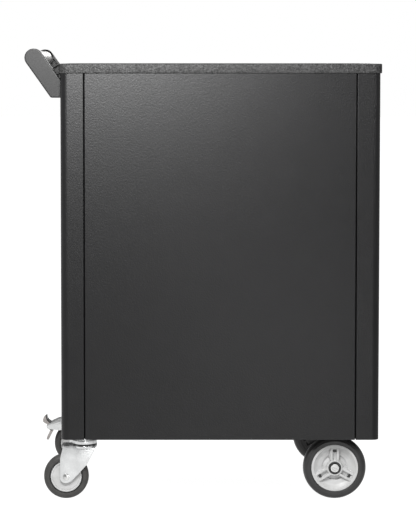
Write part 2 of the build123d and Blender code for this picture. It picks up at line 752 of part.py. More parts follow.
def brake_pedal():
    """The foot pedal on the front caster: two cheeks, a top web, an upper and a lower foot tab."""
    cheek_half = FORK_INNER - 0.6
    skin = 2.0
    outline = make_hull(
        [disc_at(PEDAL_X, PEDAL_Z, 7.0), disc_at(78.0, 95.0, 13.0), disc_at(103.0, 91.0, 6.0)]
    )
    hollow = offset(outline, -skin)
    pedal = along_y(outline, -cheek_half, cheek_half)
    for drop in range(0, 36, 6):
        pedal -= along_y(Pos(0, -drop) * hollow, -cheek_half + skin, cheek_half - skin)
    shoe = make_hull([disc_at(56.5, 107.0, 4.5), disc_at(58.5, 104.0, 3.0)])
    pedal += along_y(shoe, -cheek_half + 0.5, cheek_half - 0.5)
    upper = fold_section([(101.0, 96.0), (113.5, 96.0), (113.5, 114.0)], (8.0,), 2.5)
    lower = Pos(97.5, 73.0) * Rot(0, 0, 30.0) * Rectangle(2.5, 34.0)
    reach = cheek_half - skin / 2
    tabs = along_y(upper, -14.0, 14.0) + along_y(lower, -reach, reach)
    inside = make_hull([disc_at(78.0, 95.0, 11.0), disc_at(99.0, 91.0, 4.0)])
    pedal += tabs - along_y(inside, -cheek_half + skin, cheek_half - skin)
    pedal -= rod_y(PEDAL_X, PEDAL_Z, 3.0 + RUNNING, -30, 30)
    return Pos(CASTER_X, -TRACK_Y, 0) * pedal


def brake_spring():
    """The coil on the pedal's pin that lifts the pedal when it is released."""
    path = Helix(pitch=1.4, height=11.2, radius=3.8)
    wire = sweep(Plane(path @ 0, z_dir=path % 0) * Circle(0.5), path=path, is_frenet=True)
    return Pos(CASTER_X + PEDAL_X, -TRACK_Y + 5.6, PEDAL_Z) * Rot(90, 0, 0) * wire


def fixed_rim(side):
    """The moulded centre of a fixed wheel: dished web, raised hub and three double-ribbed spokes."""
    half = FIXED_WIDTH / 2
    points = [
        (BEARING_RADIUS, -half + 1),
        (18.0, -half + 1),
        (19.0, -half + 5),
        (30.0, -half + 9),
        (46.0, -half + 5),
        (49.5, -half + 2),
        (FIXED_RIM, -half + 2),
        (FIXED_RIM, half - 2),
        (49.5, half - 2),
        (46.0, half - 5),
        (30.0, half - 9),
        (19.0, half - 5),
        (18.0, half - 1),
        (BEARING_RADIUS, half - 1),
    ]
    rim = ring_profile(points, 0, 0, 0)
    for turn in (0, 120, 240):
        for face in SIDES:
            outer_y = face * (half - 2.5)
            deep_y = face * (half - 12.0)
            spoke = block((-9.0, 9.0), sorted((outer_y, deep_y)), (16.0, 48.5))
            groove = block((-5.5, 5.5), sorted((outer_y + face, face * (half - 7.0))), (19.0, 43.0))
            rim += Rot(0, turn, 0) * (spoke - groove)
        rim -= Rot(0, turn, 0) * block((-3.6, 3.6), (-half, half), (34.5, 42.5))
    rim -= rod_y(0, 0, BEARING_RADIUS, -half - 5, half + 5)
    return Pos(FIXED_X, side * TRACK_Y, FIXED_RADIUS) * rim


def fixed_bearing(side):
    """The plain bearing pressed into a fixed wheel's hub."""
    half = FIXED_WIDTH / 2
    ring = rod_y(0, 0, BEARING_RADIUS, -half, half)
    ring -= rod_y(0, 0, AXLE_RADIUS + RUNNING, -half - 1, half + 1)
    return Pos(FIXED_X, side * TRACK_Y, FIXED_RADIUS) * ring


def fixed_tyre(side):
    """The rubber tyre of a fixed wheel."""
    half = FIXED_WIDTH / 2
    points = [
        (FIXED_RIM, -half + 1),
        (56.0, -half),
        (62.0, -half + 0.5),
        (66.5, -half + 4),
        (69.2, -half + 9),
        (FIXED_RADIUS, 0),
        (69.2, half - 9),
        (66.5, half - 4),
        (62.0, half - 0.5),
        (56.0, half),
        (FIXED_RIM, half - 1),
    ]
    return ring_profile(points, FIXED_X, FIXED_RADIUS, side * TRACK_Y)


def wheel_axle():
    """The steel axle through both fixed wheels, with an inner collar and an outer clip for each."""
    half = FIXED_WIDTH / 2
    end = TRACK_Y + half + 3.0
    solids = [rod_y(FIXED_X, FIXED_RADIUS, AXLE_RADIUS, -end, end)]
    for side in SIDES:
        for low, high, radius in (
            (BRACKET_PLATE_Y + BRACKET_PLATE, TRACK_Y - half - 0.3, 11.0),
            (TRACK_Y + half + 0.3, TRACK_Y + half + 1.5, 9.0),
        ):
            y_low, y_high = sorted((side * low, side * high))
            ring = rod_y(FIXED_X, FIXED_RADIUS, radius, y_low, y_high)
            solids.append(ring - rod_y(FIXED_X, FIXED_RADIUS, AXLE_RADIUS, y_low - 1, y_high + 1))
    return solids


def axle_bracket(side):
    """A folded bracket that hangs the axle under the base pan."""
    pan_bottom = BASE_TOP - BASE_PLATE
    plate = make_hull(
        [
            Line((FIXED_X - 34, pan_bottom), (FIXED_X + 34, pan_bottom)),
            disc_at(FIXED_X, FIXED_RADIUS, 16.0),
        ]
    )
    bracket = along_y(plate, BRACKET_PLATE_Y, BRACKET_PLATE_Y + BRACKET_PLATE)
    flange = block(
        (FIXED_X - 34, FIXED_X + 34), (BRACKET_PLATE_Y - 40, BRACKET_PLATE_Y + 1), (PLATE_BOTTOM, pan_bottom)
    )
    bracket += flange
    bracket -= rod_y(FIXED_X, FIXED_RADIUS, AXLE_RADIUS, 150, 190)
    for x, y in axle_bracket_bolts(1):
        bracket -= rod_z(x, y, BOLT_RADIUS, 140, 155)
    return bracket if side > 0 else mirror(bracket, Plane.XZ)


def fasteners():
    """Bolts through the base pan with their heads and nuts, and the handle brackets' bolts."""
    solids = []
    nut = RegularPolygon(7.0, 6)
    for x, y in base_bolts():
        bolt = rod_z(x, y, BOLT_RADIUS, PLATE_BOTTOM - 5.0, BASE_TOP)
        bolt += rod_z(x, y, 8.0, BASE_TOP, BASE_TOP + 4.0)
        bolt += Pos(x, y) * along_z(nut, PLATE_BOTTOM - 5.0, PLATE_BOTTOM)
        solids.append(bolt)
    inside = HALF_WIDTH - SHEET
    for y in bracket_bolt_rows():
        for z in BRACKET_BOLT_Z:
            shank = rod_x(y, z, HANDLE_BOLT, inside, HALF_WIDTH + HANDLE_BOLT_DEPTH)
            solids.append(shank + rod_x(y, z, 2 * HANDLE_BOLT, inside - 4, inside))
    return solids


def main():
    """Builds every node and writes it to parts/."""
    os.makedirs("parts", exist_ok=True)
    export_node("side_panel_handle", side_panel(1))
    export_node("side_panel_plain", side_panel(-1))
    export_node("back_panel", back_panel())
    export_node("base_pan", base_pan())
    export_node("top_frame", top_frame())
    export_node("worktop", worktop())
    export_node("worktop_mat", worktop_mat())
    export_node("slide_uprights", *slide_uprights())
    export_node("lock_housing", lock_housing())
    export_node("lock_plug", lock_plug())
    export_node("lock_bar", lock_bar())
    export_node("lock_bar_guides", *lock_bar_guides())
    export_node("handle_brackets", handle_bracket(1), handle_bracket(-1))
    export_node("handle_tube", handle_tube())
    export_node("fasteners", *fasteners())
    export_node("caster_plates", caster_plate(1), caster_plate(-1))
    export_node("axle_brackets", axle_bracket(1), axle_bracket(-1))
    export_node("wheel_axle", *wheel_axle())
    for side, name in ((1, "rear"), (-1, "front")):
        export_node(f"caster_{name}_fork", caster_fork(side))
        export_node(f"caster_{name}_axle", *caster_axle(side))
        export_node(f"caster_{name}_rim", caster_rim(side))
        export_node(f"caster_{name}_tyre", caster_tyre(side))
        export_node(f"fixed_wheel_{name}_rim", fixed_rim(side))
        export_node(f"fixed_wheel_{name}_bearing", fixed_bearing(side))
        export_node(f"fixed_wheel_{name}_tyre", fixed_tyre(side))
    export_node("swivel_bearing_balls", *swivel_balls())
    export_node("brake_pedal", brake_pedal())
    export_node("brake_spring", brake_spring())
    spans = drawer_spans()
    export_node("outer_slides", *[outer_member(low, side) for low, _ in spans for side in SIDES])
    for number, (low, height) in enumerate(spans, start=1):
        export_node(f"drawer_{number}_tray", drawer_tray(low, height))
        export_node(f"drawer_{number}_front", drawer_front(low, height), drawer_pull(low, height))
        export_node(f"drawer_{number}_runners", *[inner_member(low, side) for side in SIDES])
        export_node(f"drawer_{number}_middle_slides", *[middle_member(low, side) for side in SIDES])


if __name__ == "__main__":
    main()
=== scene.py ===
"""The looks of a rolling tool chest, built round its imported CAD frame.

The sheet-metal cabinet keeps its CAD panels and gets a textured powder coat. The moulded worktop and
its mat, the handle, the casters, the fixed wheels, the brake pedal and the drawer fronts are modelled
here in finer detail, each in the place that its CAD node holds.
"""

from __future__ import annotations

import logging
import math
from contextlib import contextmanager
from dataclasses import dataclass, field
from enum import Enum
from typing import Any, Callable, Iterator, Mapping, Sequence

import bmesh
import bpy
from mathutils import Matrix, Vector

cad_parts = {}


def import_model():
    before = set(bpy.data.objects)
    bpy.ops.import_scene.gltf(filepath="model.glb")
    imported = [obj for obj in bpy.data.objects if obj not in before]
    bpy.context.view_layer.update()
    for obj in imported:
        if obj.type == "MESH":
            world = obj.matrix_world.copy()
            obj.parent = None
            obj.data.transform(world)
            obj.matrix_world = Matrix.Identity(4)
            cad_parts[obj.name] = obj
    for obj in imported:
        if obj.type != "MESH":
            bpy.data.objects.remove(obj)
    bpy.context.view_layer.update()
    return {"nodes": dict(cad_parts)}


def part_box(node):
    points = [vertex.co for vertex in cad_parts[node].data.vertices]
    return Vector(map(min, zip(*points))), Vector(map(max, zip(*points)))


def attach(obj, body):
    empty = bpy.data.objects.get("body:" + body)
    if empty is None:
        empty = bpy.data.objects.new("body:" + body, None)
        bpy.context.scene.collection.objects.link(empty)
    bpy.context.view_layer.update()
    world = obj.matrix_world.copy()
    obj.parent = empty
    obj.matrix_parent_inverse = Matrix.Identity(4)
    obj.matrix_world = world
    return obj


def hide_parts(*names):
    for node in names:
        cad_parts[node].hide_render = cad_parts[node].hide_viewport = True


MM = 0.001
# Points nearer to each other than this, in metres, are one point.
SAME_POINT = 1e-6
# A point nearer to a plane than this, in metres, lies in it.
IN_PLANE = 1e-5
# A face whose normal has at least this much of a direction looks that way.
FACING = 0.9
X_AXIS = Vector((1, 0, 0))
Y_AXIS = Vector((0, 1, 0))
Z_AXIS = Vector((0, 0, 1))
SIDES = (1, -1)
# Two places in a drawing and a radius there, or three sizes.
Corner = tuple[float, float, float]
LOG = logging.getLogger("tool_chest")


# ---- The modelling bench ------------------------------------------------------------------------
class Plane(Enum):
    """The plane an outline is drawn in. Its third axis is the one that the outline is pulled along."""

    SIDE = (0, 2, 1)
    PLAN = (0, 1, 2)
    CROSS = (1, 2, 0)

    def point(self, across: float, up: float, along: float) -> Vector:
        """A point of the row frame.

        Args:
            across: The first place in the plane, in metres.
            up: The second place in the plane.
            along: The place along the plane's axis.

        Returns:
            The point.
        """
        place = Vector((0.0, 0.0, 0.0))
        for axis, value in zip(self.value, (across, up, along)):
            place[axis] = value
        return place

    def pull(self, distance: float) -> Vector:
        """The vector that is distance long along the plane's axis."""
        return self.point(0.0, 0.0, distance)


class Part(Enum):
    """What a selection in edit mode is made of."""

    POINTS = "VERT"
    EDGES = "EDGE"
    FACES = "FACE"


def put_down() -> None:
    """Leaves edit mode and deselects every object."""
    if bpy.context.mode != "OBJECT":
        bpy.ops.object.mode_set(mode="OBJECT")
    bpy.ops.object.select_all(action="DESELECT")


def take_up(piece: bpy.types.Object) -> None:
    """Makes piece the only selected object and the active one.

    Args:
        piece: The object to work on next.
    """
    put_down()
    piece.select_set(True)
    bpy.context.view_layer.objects.active = piece


@contextmanager
def editing(piece: bpy.types.Object) -> Iterator[None]:
    """Edit mode on one piece, with all of it selected.

    Args:
        piece: The object to edit.
    """
    take_up(piece)
    bpy.ops.object.mode_set(mode="EDIT")
    bpy.ops.mesh.select_mode(type="VERT")
    bpy.ops.mesh.select_all(action="SELECT")
    yield
    bpy.ops.object.mode_set(mode="OBJECT")


def pick(piece: bpy.types.Object, part: Part, test: Callable[[Any], bool]) -> int:
    """Selects the points, edges or faces of the edited piece that pass a test, and nothing else.

    Args:
        piece: The object in edit mode.
        part: What to select.
        test: Says whether one point, edge or face is wanted.

    Returns:
        How many were selected.
    """
    bpy.ops.mesh.select_mode(type=part.value)
    bpy.ops.mesh.select_all(action="DESELECT")
    mesh = bmesh.from_edit_mesh(piece.data)
    mesh.normal_update()
    pool = {Part.POINTS: mesh.verts, Part.EDGES: mesh.edges, Part.FACES: mesh.faces}[part]
    chosen = [element for element in pool if test(element)]
    for element in chosen:
        element.select_set(True)
    bmesh.update_edit_mesh(piece.data)
    return len(chosen)


def new_piece(name: str) -> bpy.types.Object:
    """Names the primitive that was just added and puts its place into its mesh.

    Args:
        name: The piece's name.

    Returns:
        The piece, at the origin.
    """
    piece = bpy.context.active_object
    take_up(piece)
    bpy.ops.object.transform_apply(location=True, rotation=True, scale=True)
    piece.name = name
    piece.data.name = name
    return piece


def block(name: str, low: Vector, high: Vector) -> bpy.types.Object:
    """A box, as the start of a piece.

    Args:
        name: The piece's name.
        low: Its lowest corner.
        high: Its highest corner.

    Returns:
        The box.
    """
    put_down()
    bpy.ops.mesh.primitive_cube_add(size=1.0, location=(low + high) / 2, scale=high - low)
    return new_piece(name)


def round_bar(name: str, start: Vector, end: Vector, radius: float, sides: int = 32) -> bpy.types.Object:
    """A cylinder, as the start of a piece.

    Args:
        name: The piece's name.
        start: The middle of one end.
        end: The middle of the other end.
        radius: Its radius.
        sides: How many flats make its round.

    Returns:
        The cylinder.
    """
    put_down()
    line = end - start
    turn = line.to_track_quat("Z", "Y").to_euler()
    bpy.ops.mesh.primitive_cylinder_add(
        vertices=sides,
        radius=radius,
        depth=line.length,
        location=(start + end) / 2,
        rotation=turn,
    )
    return new_piece(name)


# The turn of one step of a rounded corner, and of an arc round a disc, in degrees.
CORNER_STEP = 11
ARC_STEP = 12


def draw(name: str, plane: Plane, corners: Sequence[Corner], along: float, closed: bool) -> bpy.types.Object:
    """Draws a line of edges by extruding a single point from corner to corner, then rounds the corners.

    Args:
        name: The piece's name.
        plane: The plane of the drawing.
        corners: For each corner, its two places in the plane and its rounding radius, in metres.
        along: Where the plane lies on its own axis.
        closed: Whether the line ends where it starts.

    Returns:
        The piece, which has no faces yet.
    """
    put_down()
    points = [plane.point(across, up, along) for across, up, _ in corners]
    bpy.ops.mesh.primitive_plane_add(size=MM, location=points[0])
    piece = new_piece(name)
    with editing(piece):
        bpy.ops.mesh.merge(type="CENTER")
        for before, after in zip(points, points[1:]):
            bpy.ops.mesh.extrude_vertices_move(TRANSFORM_OT_translate={"value": after - before})
        if closed:
            ends = (points[0], points[-1])
            pick(piece, Part.POINTS, lambda v: any((v.co - end).length < SAME_POINT for end in ends))
            bpy.ops.mesh.edge_face_add()
        for index, (_, _, radius) in enumerate(corners):
            if radius <= 0:
                continue
            corner = points[index]
            coming = (corner - points[index - 1]).normalized()
            going = (points[(index + 1) % len(points)] - corner).normalized()
            turn = coming.angle(going)
            pick(piece, Part.POINTS, lambda v, c=corner: (v.co - c).length < SAME_POINT)
            steps = max(2, round(math.degrees(turn) / CORNER_STEP))
            bpy.ops.mesh.bevel(affect="VERTICES", offset=radius * math.tan(turn / 2), segments=steps)
    return piece


def face_out(piece: bpy.types.Object) -> None:
    """Merges doubled points and turns every face outwards.

    Args:
        piece: The closed piece.
    """
    with editing(piece):
        bpy.ops.mesh.remove_doubles(threshold=0.002 * MM)
        bpy.ops.mesh.select_all(action="SELECT")
        bpy.ops.mesh.normals_make_consistent(inside=False)


def slab(
    name: str, plane: Plane, corners: Sequence[Corner], low: float, high: float
) -> bpy.types.Object:
    """A flat piece: a drawn outline, filled and pulled along the plane's axis.

    Args:
        name: The piece's name.
        plane: The plane of the outline.
        corners: For each corner, its two places in the plane and its rounding radius.
        low: Where the piece starts on the axis.
        high: Where it ends.

    Returns:
        The closed piece.
    """
    piece = draw(name, plane, corners, low, closed=True)
    with editing(piece):
        bpy.ops.mesh.edge_face_add()
        bpy.ops.mesh.extrude_region_move(TRANSFORM_OT_translate={"value": plane.pull(high - low)})
    face_out(piece)
    return piece


def fold(corners: Sequence[Corner], sheet: float) -> list[Corner]:
    """The closed section of a folded sheet.

    Args:
        corners: The line of its visible side: two places and a bend radius at each corner.
        sheet: The metal's thickness, which lies to the right of the line.

    Returns:
        The line, and back along the hidden side.
    """
    path = [Vector(corner[:2]) for corner in corners]
    headings = [(after - before).normalized() for before, after in zip(path, path[1:])]
    rights = [Vector((heading.y, -heading.x)) for heading in headings]
    hidden: list[Corner] = [(*(path[0] + rights[0] * sheet), 0.0)]
    for point, (_, _, radius), before, after in zip(path[1:], corners[1:], headings, headings[1:]):
        shift = Vector((before.y + after.y, -before.x - after.x)) * sheet
        turns_right = before.x * after.y - before.y * after.x < 0
        hidden.append((*(point + shift), max(0.0, radius - sheet) if turns_right else radius + sheet))
    hidden.append((*(path[-1] + rights[-1] * sheet), 0.0))
    return [*corners, *reversed(hidden)]


def arc(centre: Vector, radius: float, start: float, end: float, steps: int) -> list[Corner]:
    """Corners along an arc in the plane of a drawing.

    Args:
        centre: The arc's centre.
        radius: Its radius.
        start: The angle of its first corner, in degrees.
        end: The angle of its last corner.
        steps: How many steps lie between them.

    Returns:
        The corners, none of which is rounded.
    """
    angles = [math.radians(start + (end - start) * step / steps) for step in range(steps + 1)]
    return [(centre.x + radius * math.cos(a), centre.y + radius * math.sin(a), 0.0) for a in angles]


def touching(left: Corner, right: Corner, side: int) -> float:
    """The angle at which a straight line over or under two discs meets them both.

    Args:
        left: The left disc's two places and its radius.
        right: The right disc's.
        side: 1 for a line over the discs, -1 for a line under them.

    Returns:
        The angle, in degrees.
    """
    run = Vector(right[:2]) - Vector(left[:2])
    lean = math.acos((left[2] - right[2]) / run.length)
    return math.degrees(math.atan2(run.y, run.x) + side * lean)


def around(discs: Sequence[Corner], turns: Sequence[float]) -> list[Corner]:
    """Corners of a cord laid on a row of discs.

    Args:
        discs: Each disc's two places and its radius, in the order in which the cord meets them.
        turns: The angle at which the cord meets the first disc, and at which it leaves each one.

    Returns:
        The corners.
    """
    corners: list[Corner] = []
    for disc, start, end in zip(discs, turns, turns[1:]):
        steps = max(1, round((end - start) / ARC_STEP))
        corners += arc(Vector(disc[:2]), disc[2], start, end, steps)
    return corners


def over(discs: Sequence[Corner]) -> list[Corner]:
    """Corners of a cord laid over a row of discs, from the last one's far side to the first one's."""
    inner = [touching(left, right, 1) for left, right in zip(discs, discs[1:])]
    return around([*reversed(discs)], [0.0, *reversed(inner), 180.0])


def under(discs: Sequence[Corner]) -> list[Corner]:
    """Corners of a cord passed under a row of discs, from the first one's far side to the last one's."""
    inner = [touching(left, right, -1) + 360.0 for left, right in zip(discs, discs[1:])]
    return around(discs, [180.0, *inner, 360.0])


def band(discs: Sequence[Corner]) -> list[Corner]:
    """Corners of a closed band stretched round a row of discs, anticlockwise."""
    return [*over(discs)[:-1], *under(discs)[:-1]]


def both_faces(near: Sequence[Corner], between: Sequence[Corner] = ()) -> list[Corner]:
    """The section of a turned piece that is the same on both faces.

    Args:
        near: The half of it at the low end of the axis, from the inside out.
        between: What lies between the halves.

    Returns:
        The whole section.
    """
    far = [(radius, -place, rounding) for radius, place, rounding in reversed(near)]
    return [*near, *between, *far]


def turned(
    name: str, profile: Sequence[Corner], centre: Vector, axis: Vector, steps: int, closed: bool
) -> bpy.types.Object:
    """A turned piece: a profile spun a full turn about an axis.

    Args:
        name: The piece's name.
        profile: For each corner, its radius, its place along the axis and its rounding radius.
        centre: A point of the axis, from which places along it are counted.
        axis: The direction of the axis, along Y or Z.
        steps: How many steps make the full turn.
        closed: Whether the profile closes on itself, as a ring's section does.

    Returns:
        The closed piece.
    """
    plane = Plane.PLAN if axis.y else Plane.SIDE
    corners = [
        (centre.x + radius, (centre.y if axis.y else centre.z) + place, rounding)
        for radius, place, rounding in profile
    ]
    piece = draw(name, plane, corners, centre.z if axis.y else centre.y, closed)
    with editing(piece):
        bpy.ops.mesh.spin(steps=steps, angle=2 * math.pi, center=centre, axis=axis, use_auto_merge=True)
    face_out(piece)
    return piece


def apply_modifier(piece: bpy.types.Object, kind: str, **settings: Any) -> None:
    """Adds one modifier to a piece, sets it and applies it.

    Args:
        piece: The piece.
        kind: Blender's name for the modifier's type.
        **settings: Values of its properties.
    """
    take_up(piece)
    modifier = piece.modifiers.new(kind.lower(), kind)
    for key, value in settings.items():
        setattr(modifier, key, value)
    bpy.ops.object.modifier_apply(modifier=modifier.name)


def ease(piece: bpy.types.Object, width: float, segments: int = 2, angle: float = 40.0) -> None:
    """Rounds every sharp edge of a piece.

    Args:
        piece: The piece.
        width: The width of the rounding.
        segments: How many strips make it.
        angle: The turn, in degrees, past which an edge is sharp.
    """
    apply_modifier(
        piece,
        "BEVEL",
        width=width,
        segments=segments,
        limit_method="ANGLE",
        angle_limit=math.radians(angle),
        use_clamp_overlap=True,
    )


def smooth(piece: bpy.types.Object, angle: float = 32.0) -> bpy.types.Object:
    """Shades a piece smooth, except across its sharp edges.

    Args:
        piece: The piece.
        angle: The turn, in degrees, past which an edge is sharp.

    Returns:
        The same piece.
    """
    take_up(piece)
    bpy.ops.object.shade_smooth_by_angle(angle=math.radians(angle))
    return piece


def cut(piece: bpy.types.Object, cutter: bpy.types.Object) -> None:
    """Takes the cutter's shape out of the piece and throws the cutter away."""
    apply_modifier(piece, "BOOLEAN", operation="DIFFERENCE", solver="EXACT", object=cutter)
    bpy.data.objects.remove(cutter)


def join(name: str, pieces: Sequence[bpy.types.Object]) -> bpy.types.Object:
    """Joins several pieces into one object.

    Args:
        name: The new name.
        pieces: The pieces, which are used up.

    Returns:
        The joined piece.
    """
    take_up(pieces[0])
    for piece in pieces:
        piece.select_set(True)
    bpy.ops.object.join()
    joined = bpy.context.active_object
    joined.name = name
    joined.data.name = name
    return joined


def copy_of(piece: bpy.types.Object, name: str, move: Matrix) -> bpy.types.Object:
    """A copy of a piece with its own mesh. A mirrored copy is turned the right way out.

    Args:
        piece: The piece to copy.
        name: The copy's name.
        move: The matrix that its mesh is moved by.

    Returns:
        The copy.
    """
    twin = piece.copy()
    twin.data = piece.data.copy()
    twin.name = name
    twin.data.name = name
    bpy.context.scene.collection.objects.link(twin)
    twin.data.transform(move)
    if move.determinant() < 0:
        twin.data.flip_normals()
    return twin


def mirrored_y(about: float) -> Matrix:
    """The matrix that mirrors a piece in the plane across Y at about."""
    return Matrix.Translation((0, 2 * about, 0)) @ Matrix.Diagonal((1, -1, 1, 1))


def spun(centre: Vector, axis: str, degrees: float) -> Matrix:
    """The matrix of a turn about an axis through a point."""
    turn = Matrix.Rotation(math.radians(degrees), 4, axis)
    return Matrix.Translation(centre) @ turn @ Matrix.Translation(-centre)


# ---- Finishes -----------------------------------------------------------------------------------
def linear(code: str) -> tuple[float, float, float, float]:
    """Turns an sRGB hex code such as "3a3a3b" into a linear colour."""
    channels = [int(code[index : index + 2], 16) / 255 for index in (0, 2, 4)]
    return (*[c / 12.92 if c <= 0.04045 else ((c + 0.055) / 1.055) ** 2.4 for c in channels], 1.0)


def add(
    tree: bpy.types.NodeTree,
    kind: str,
    settings: Mapping[str | int, Any] | None = None,
    links: Mapping[str | int, bpy.types.NodeSocket] | None = None,
) -> bpy.types.Node:
    """Adds one node with its settings and links.

    Args:
        tree: The node tree.
        kind: Blender's name for the node.
        settings: Values of the node's own properties, or of its inputs by name or number.
        links: The sockets that feed its inputs.

    Returns:
        The new node.
    """
    node = tree.nodes.new(kind)
    settings = settings or {}
    for key, value in settings.items():
        if isinstance(key, str) and key not in node.inputs:
            setattr(node, key, value)
    for key, value in settings.items():
        if isinstance(key, int) or key in node.inputs:
            node.inputs[key].default_value = value
    for key, socket in (links or {}).items():
        tree.links.new(socket, node.inputs[key])
    return node


class Pattern(Enum):
    """The pattern that a grain follows."""

    CLOUDS = "ShaderNodeTexNoise"
    PEBBLES = "ShaderNodeTexVoronoi"

    @property
    def output(self) -> str:
        """The name of the pattern's height output."""
        return "Distance" if self is Pattern.PEBBLES else "Fac"


@dataclass(frozen=True)
class Grain:
    """One grain of a surface: its size and, where it stands proud, its depth, in millimetres."""

    size: float
    depth: float = 0.0
    detail: float = 2.0
    distortion: float = 0.0
    stretch: Corner = (1.0, 1.0, 1.0)
    pattern: Pattern = Pattern.CLOUDS


@dataclass(frozen=True)
class Finish:
    """A finish: two sRGB shades that a grain blends, a span of roughness, and its relief.

    The contrast is where on the grain's range the dark shade ends, and as far from its top the light
    one starts.
    """

    name: str
    dark: str
    light: str
    roughness: tuple[float, float]
    bloom: Grain
    relief: tuple[Grain, ...] = ()
    metallic: float = 0.0
    ior: float = 1.5
    contrast: float = 0.3

    def material(self) -> bpy.types.Material:
        """Builds the material: its colour from the bloom, its roughness and normals from the relief.

        Returns:
            The new material.
        """
        material = bpy.data.materials.new(self.name)
        material.use_nodes = True
        tree = material.node_tree
        shader = tree.nodes["Principled BSDF"]
        shader.inputs["Metallic"].default_value = self.metallic
        shader.inputs["IOR"].default_value = self.ior
        place = add(tree, "ShaderNodeTexCoord").outputs["Object"]
        heights = []
        for grain in (self.bloom, *self.relief):
            mapping = add(tree, "ShaderNodeMapping", {"Scale": grain.stretch}, {"Vector": place})
            settings: dict[str | int, Any] = {"Scale": 1.0 / (grain.size * MM)}
            if grain.pattern is Pattern.CLOUDS:
                settings |= {"Detail": grain.detail, "Distortion": grain.distortion}
            texture = add(tree, grain.pattern.value, settings, {"Vector": mapping.outputs["Vector"]})
            heights.append(texture.outputs[grain.pattern.output])
        ramp = add(tree, "ShaderNodeValToRGB", links={"Fac": heights[0]})
        for stop, place_on_ramp, code in zip(
            ramp.color_ramp.elements, (self.contrast, 1 - self.contrast), (self.dark, self.light)
        ):
            stop.position = place_on_ramp
            stop.color = linear(code)
        tree.links.new(ramp.outputs["Color"], shader.inputs["Base Color"])
        low, high = self.roughness
        spread = add(
            tree,
            "ShaderNodeMapRange",
            {"From Min": self.contrast, "From Max": 1 - self.contrast, "To Min": low, "To Max": high},
            {"Value": heights[-1]},
        )
        tree.links.new(spread.outputs["Result"], shader.inputs["Roughness"])
        normal = None
        for grain, height in zip(self.relief, heights[1:]):
            links = {"Height": height} | ({"Normal": normal} if normal else {})
            bump = add(tree, "ShaderNodeBump", {"Distance": grain.depth * MM}, links)
            normal = bump.outputs["Normal"]
        if normal:
            tree.links.new(normal, shader.inputs["Normal"])
        return material


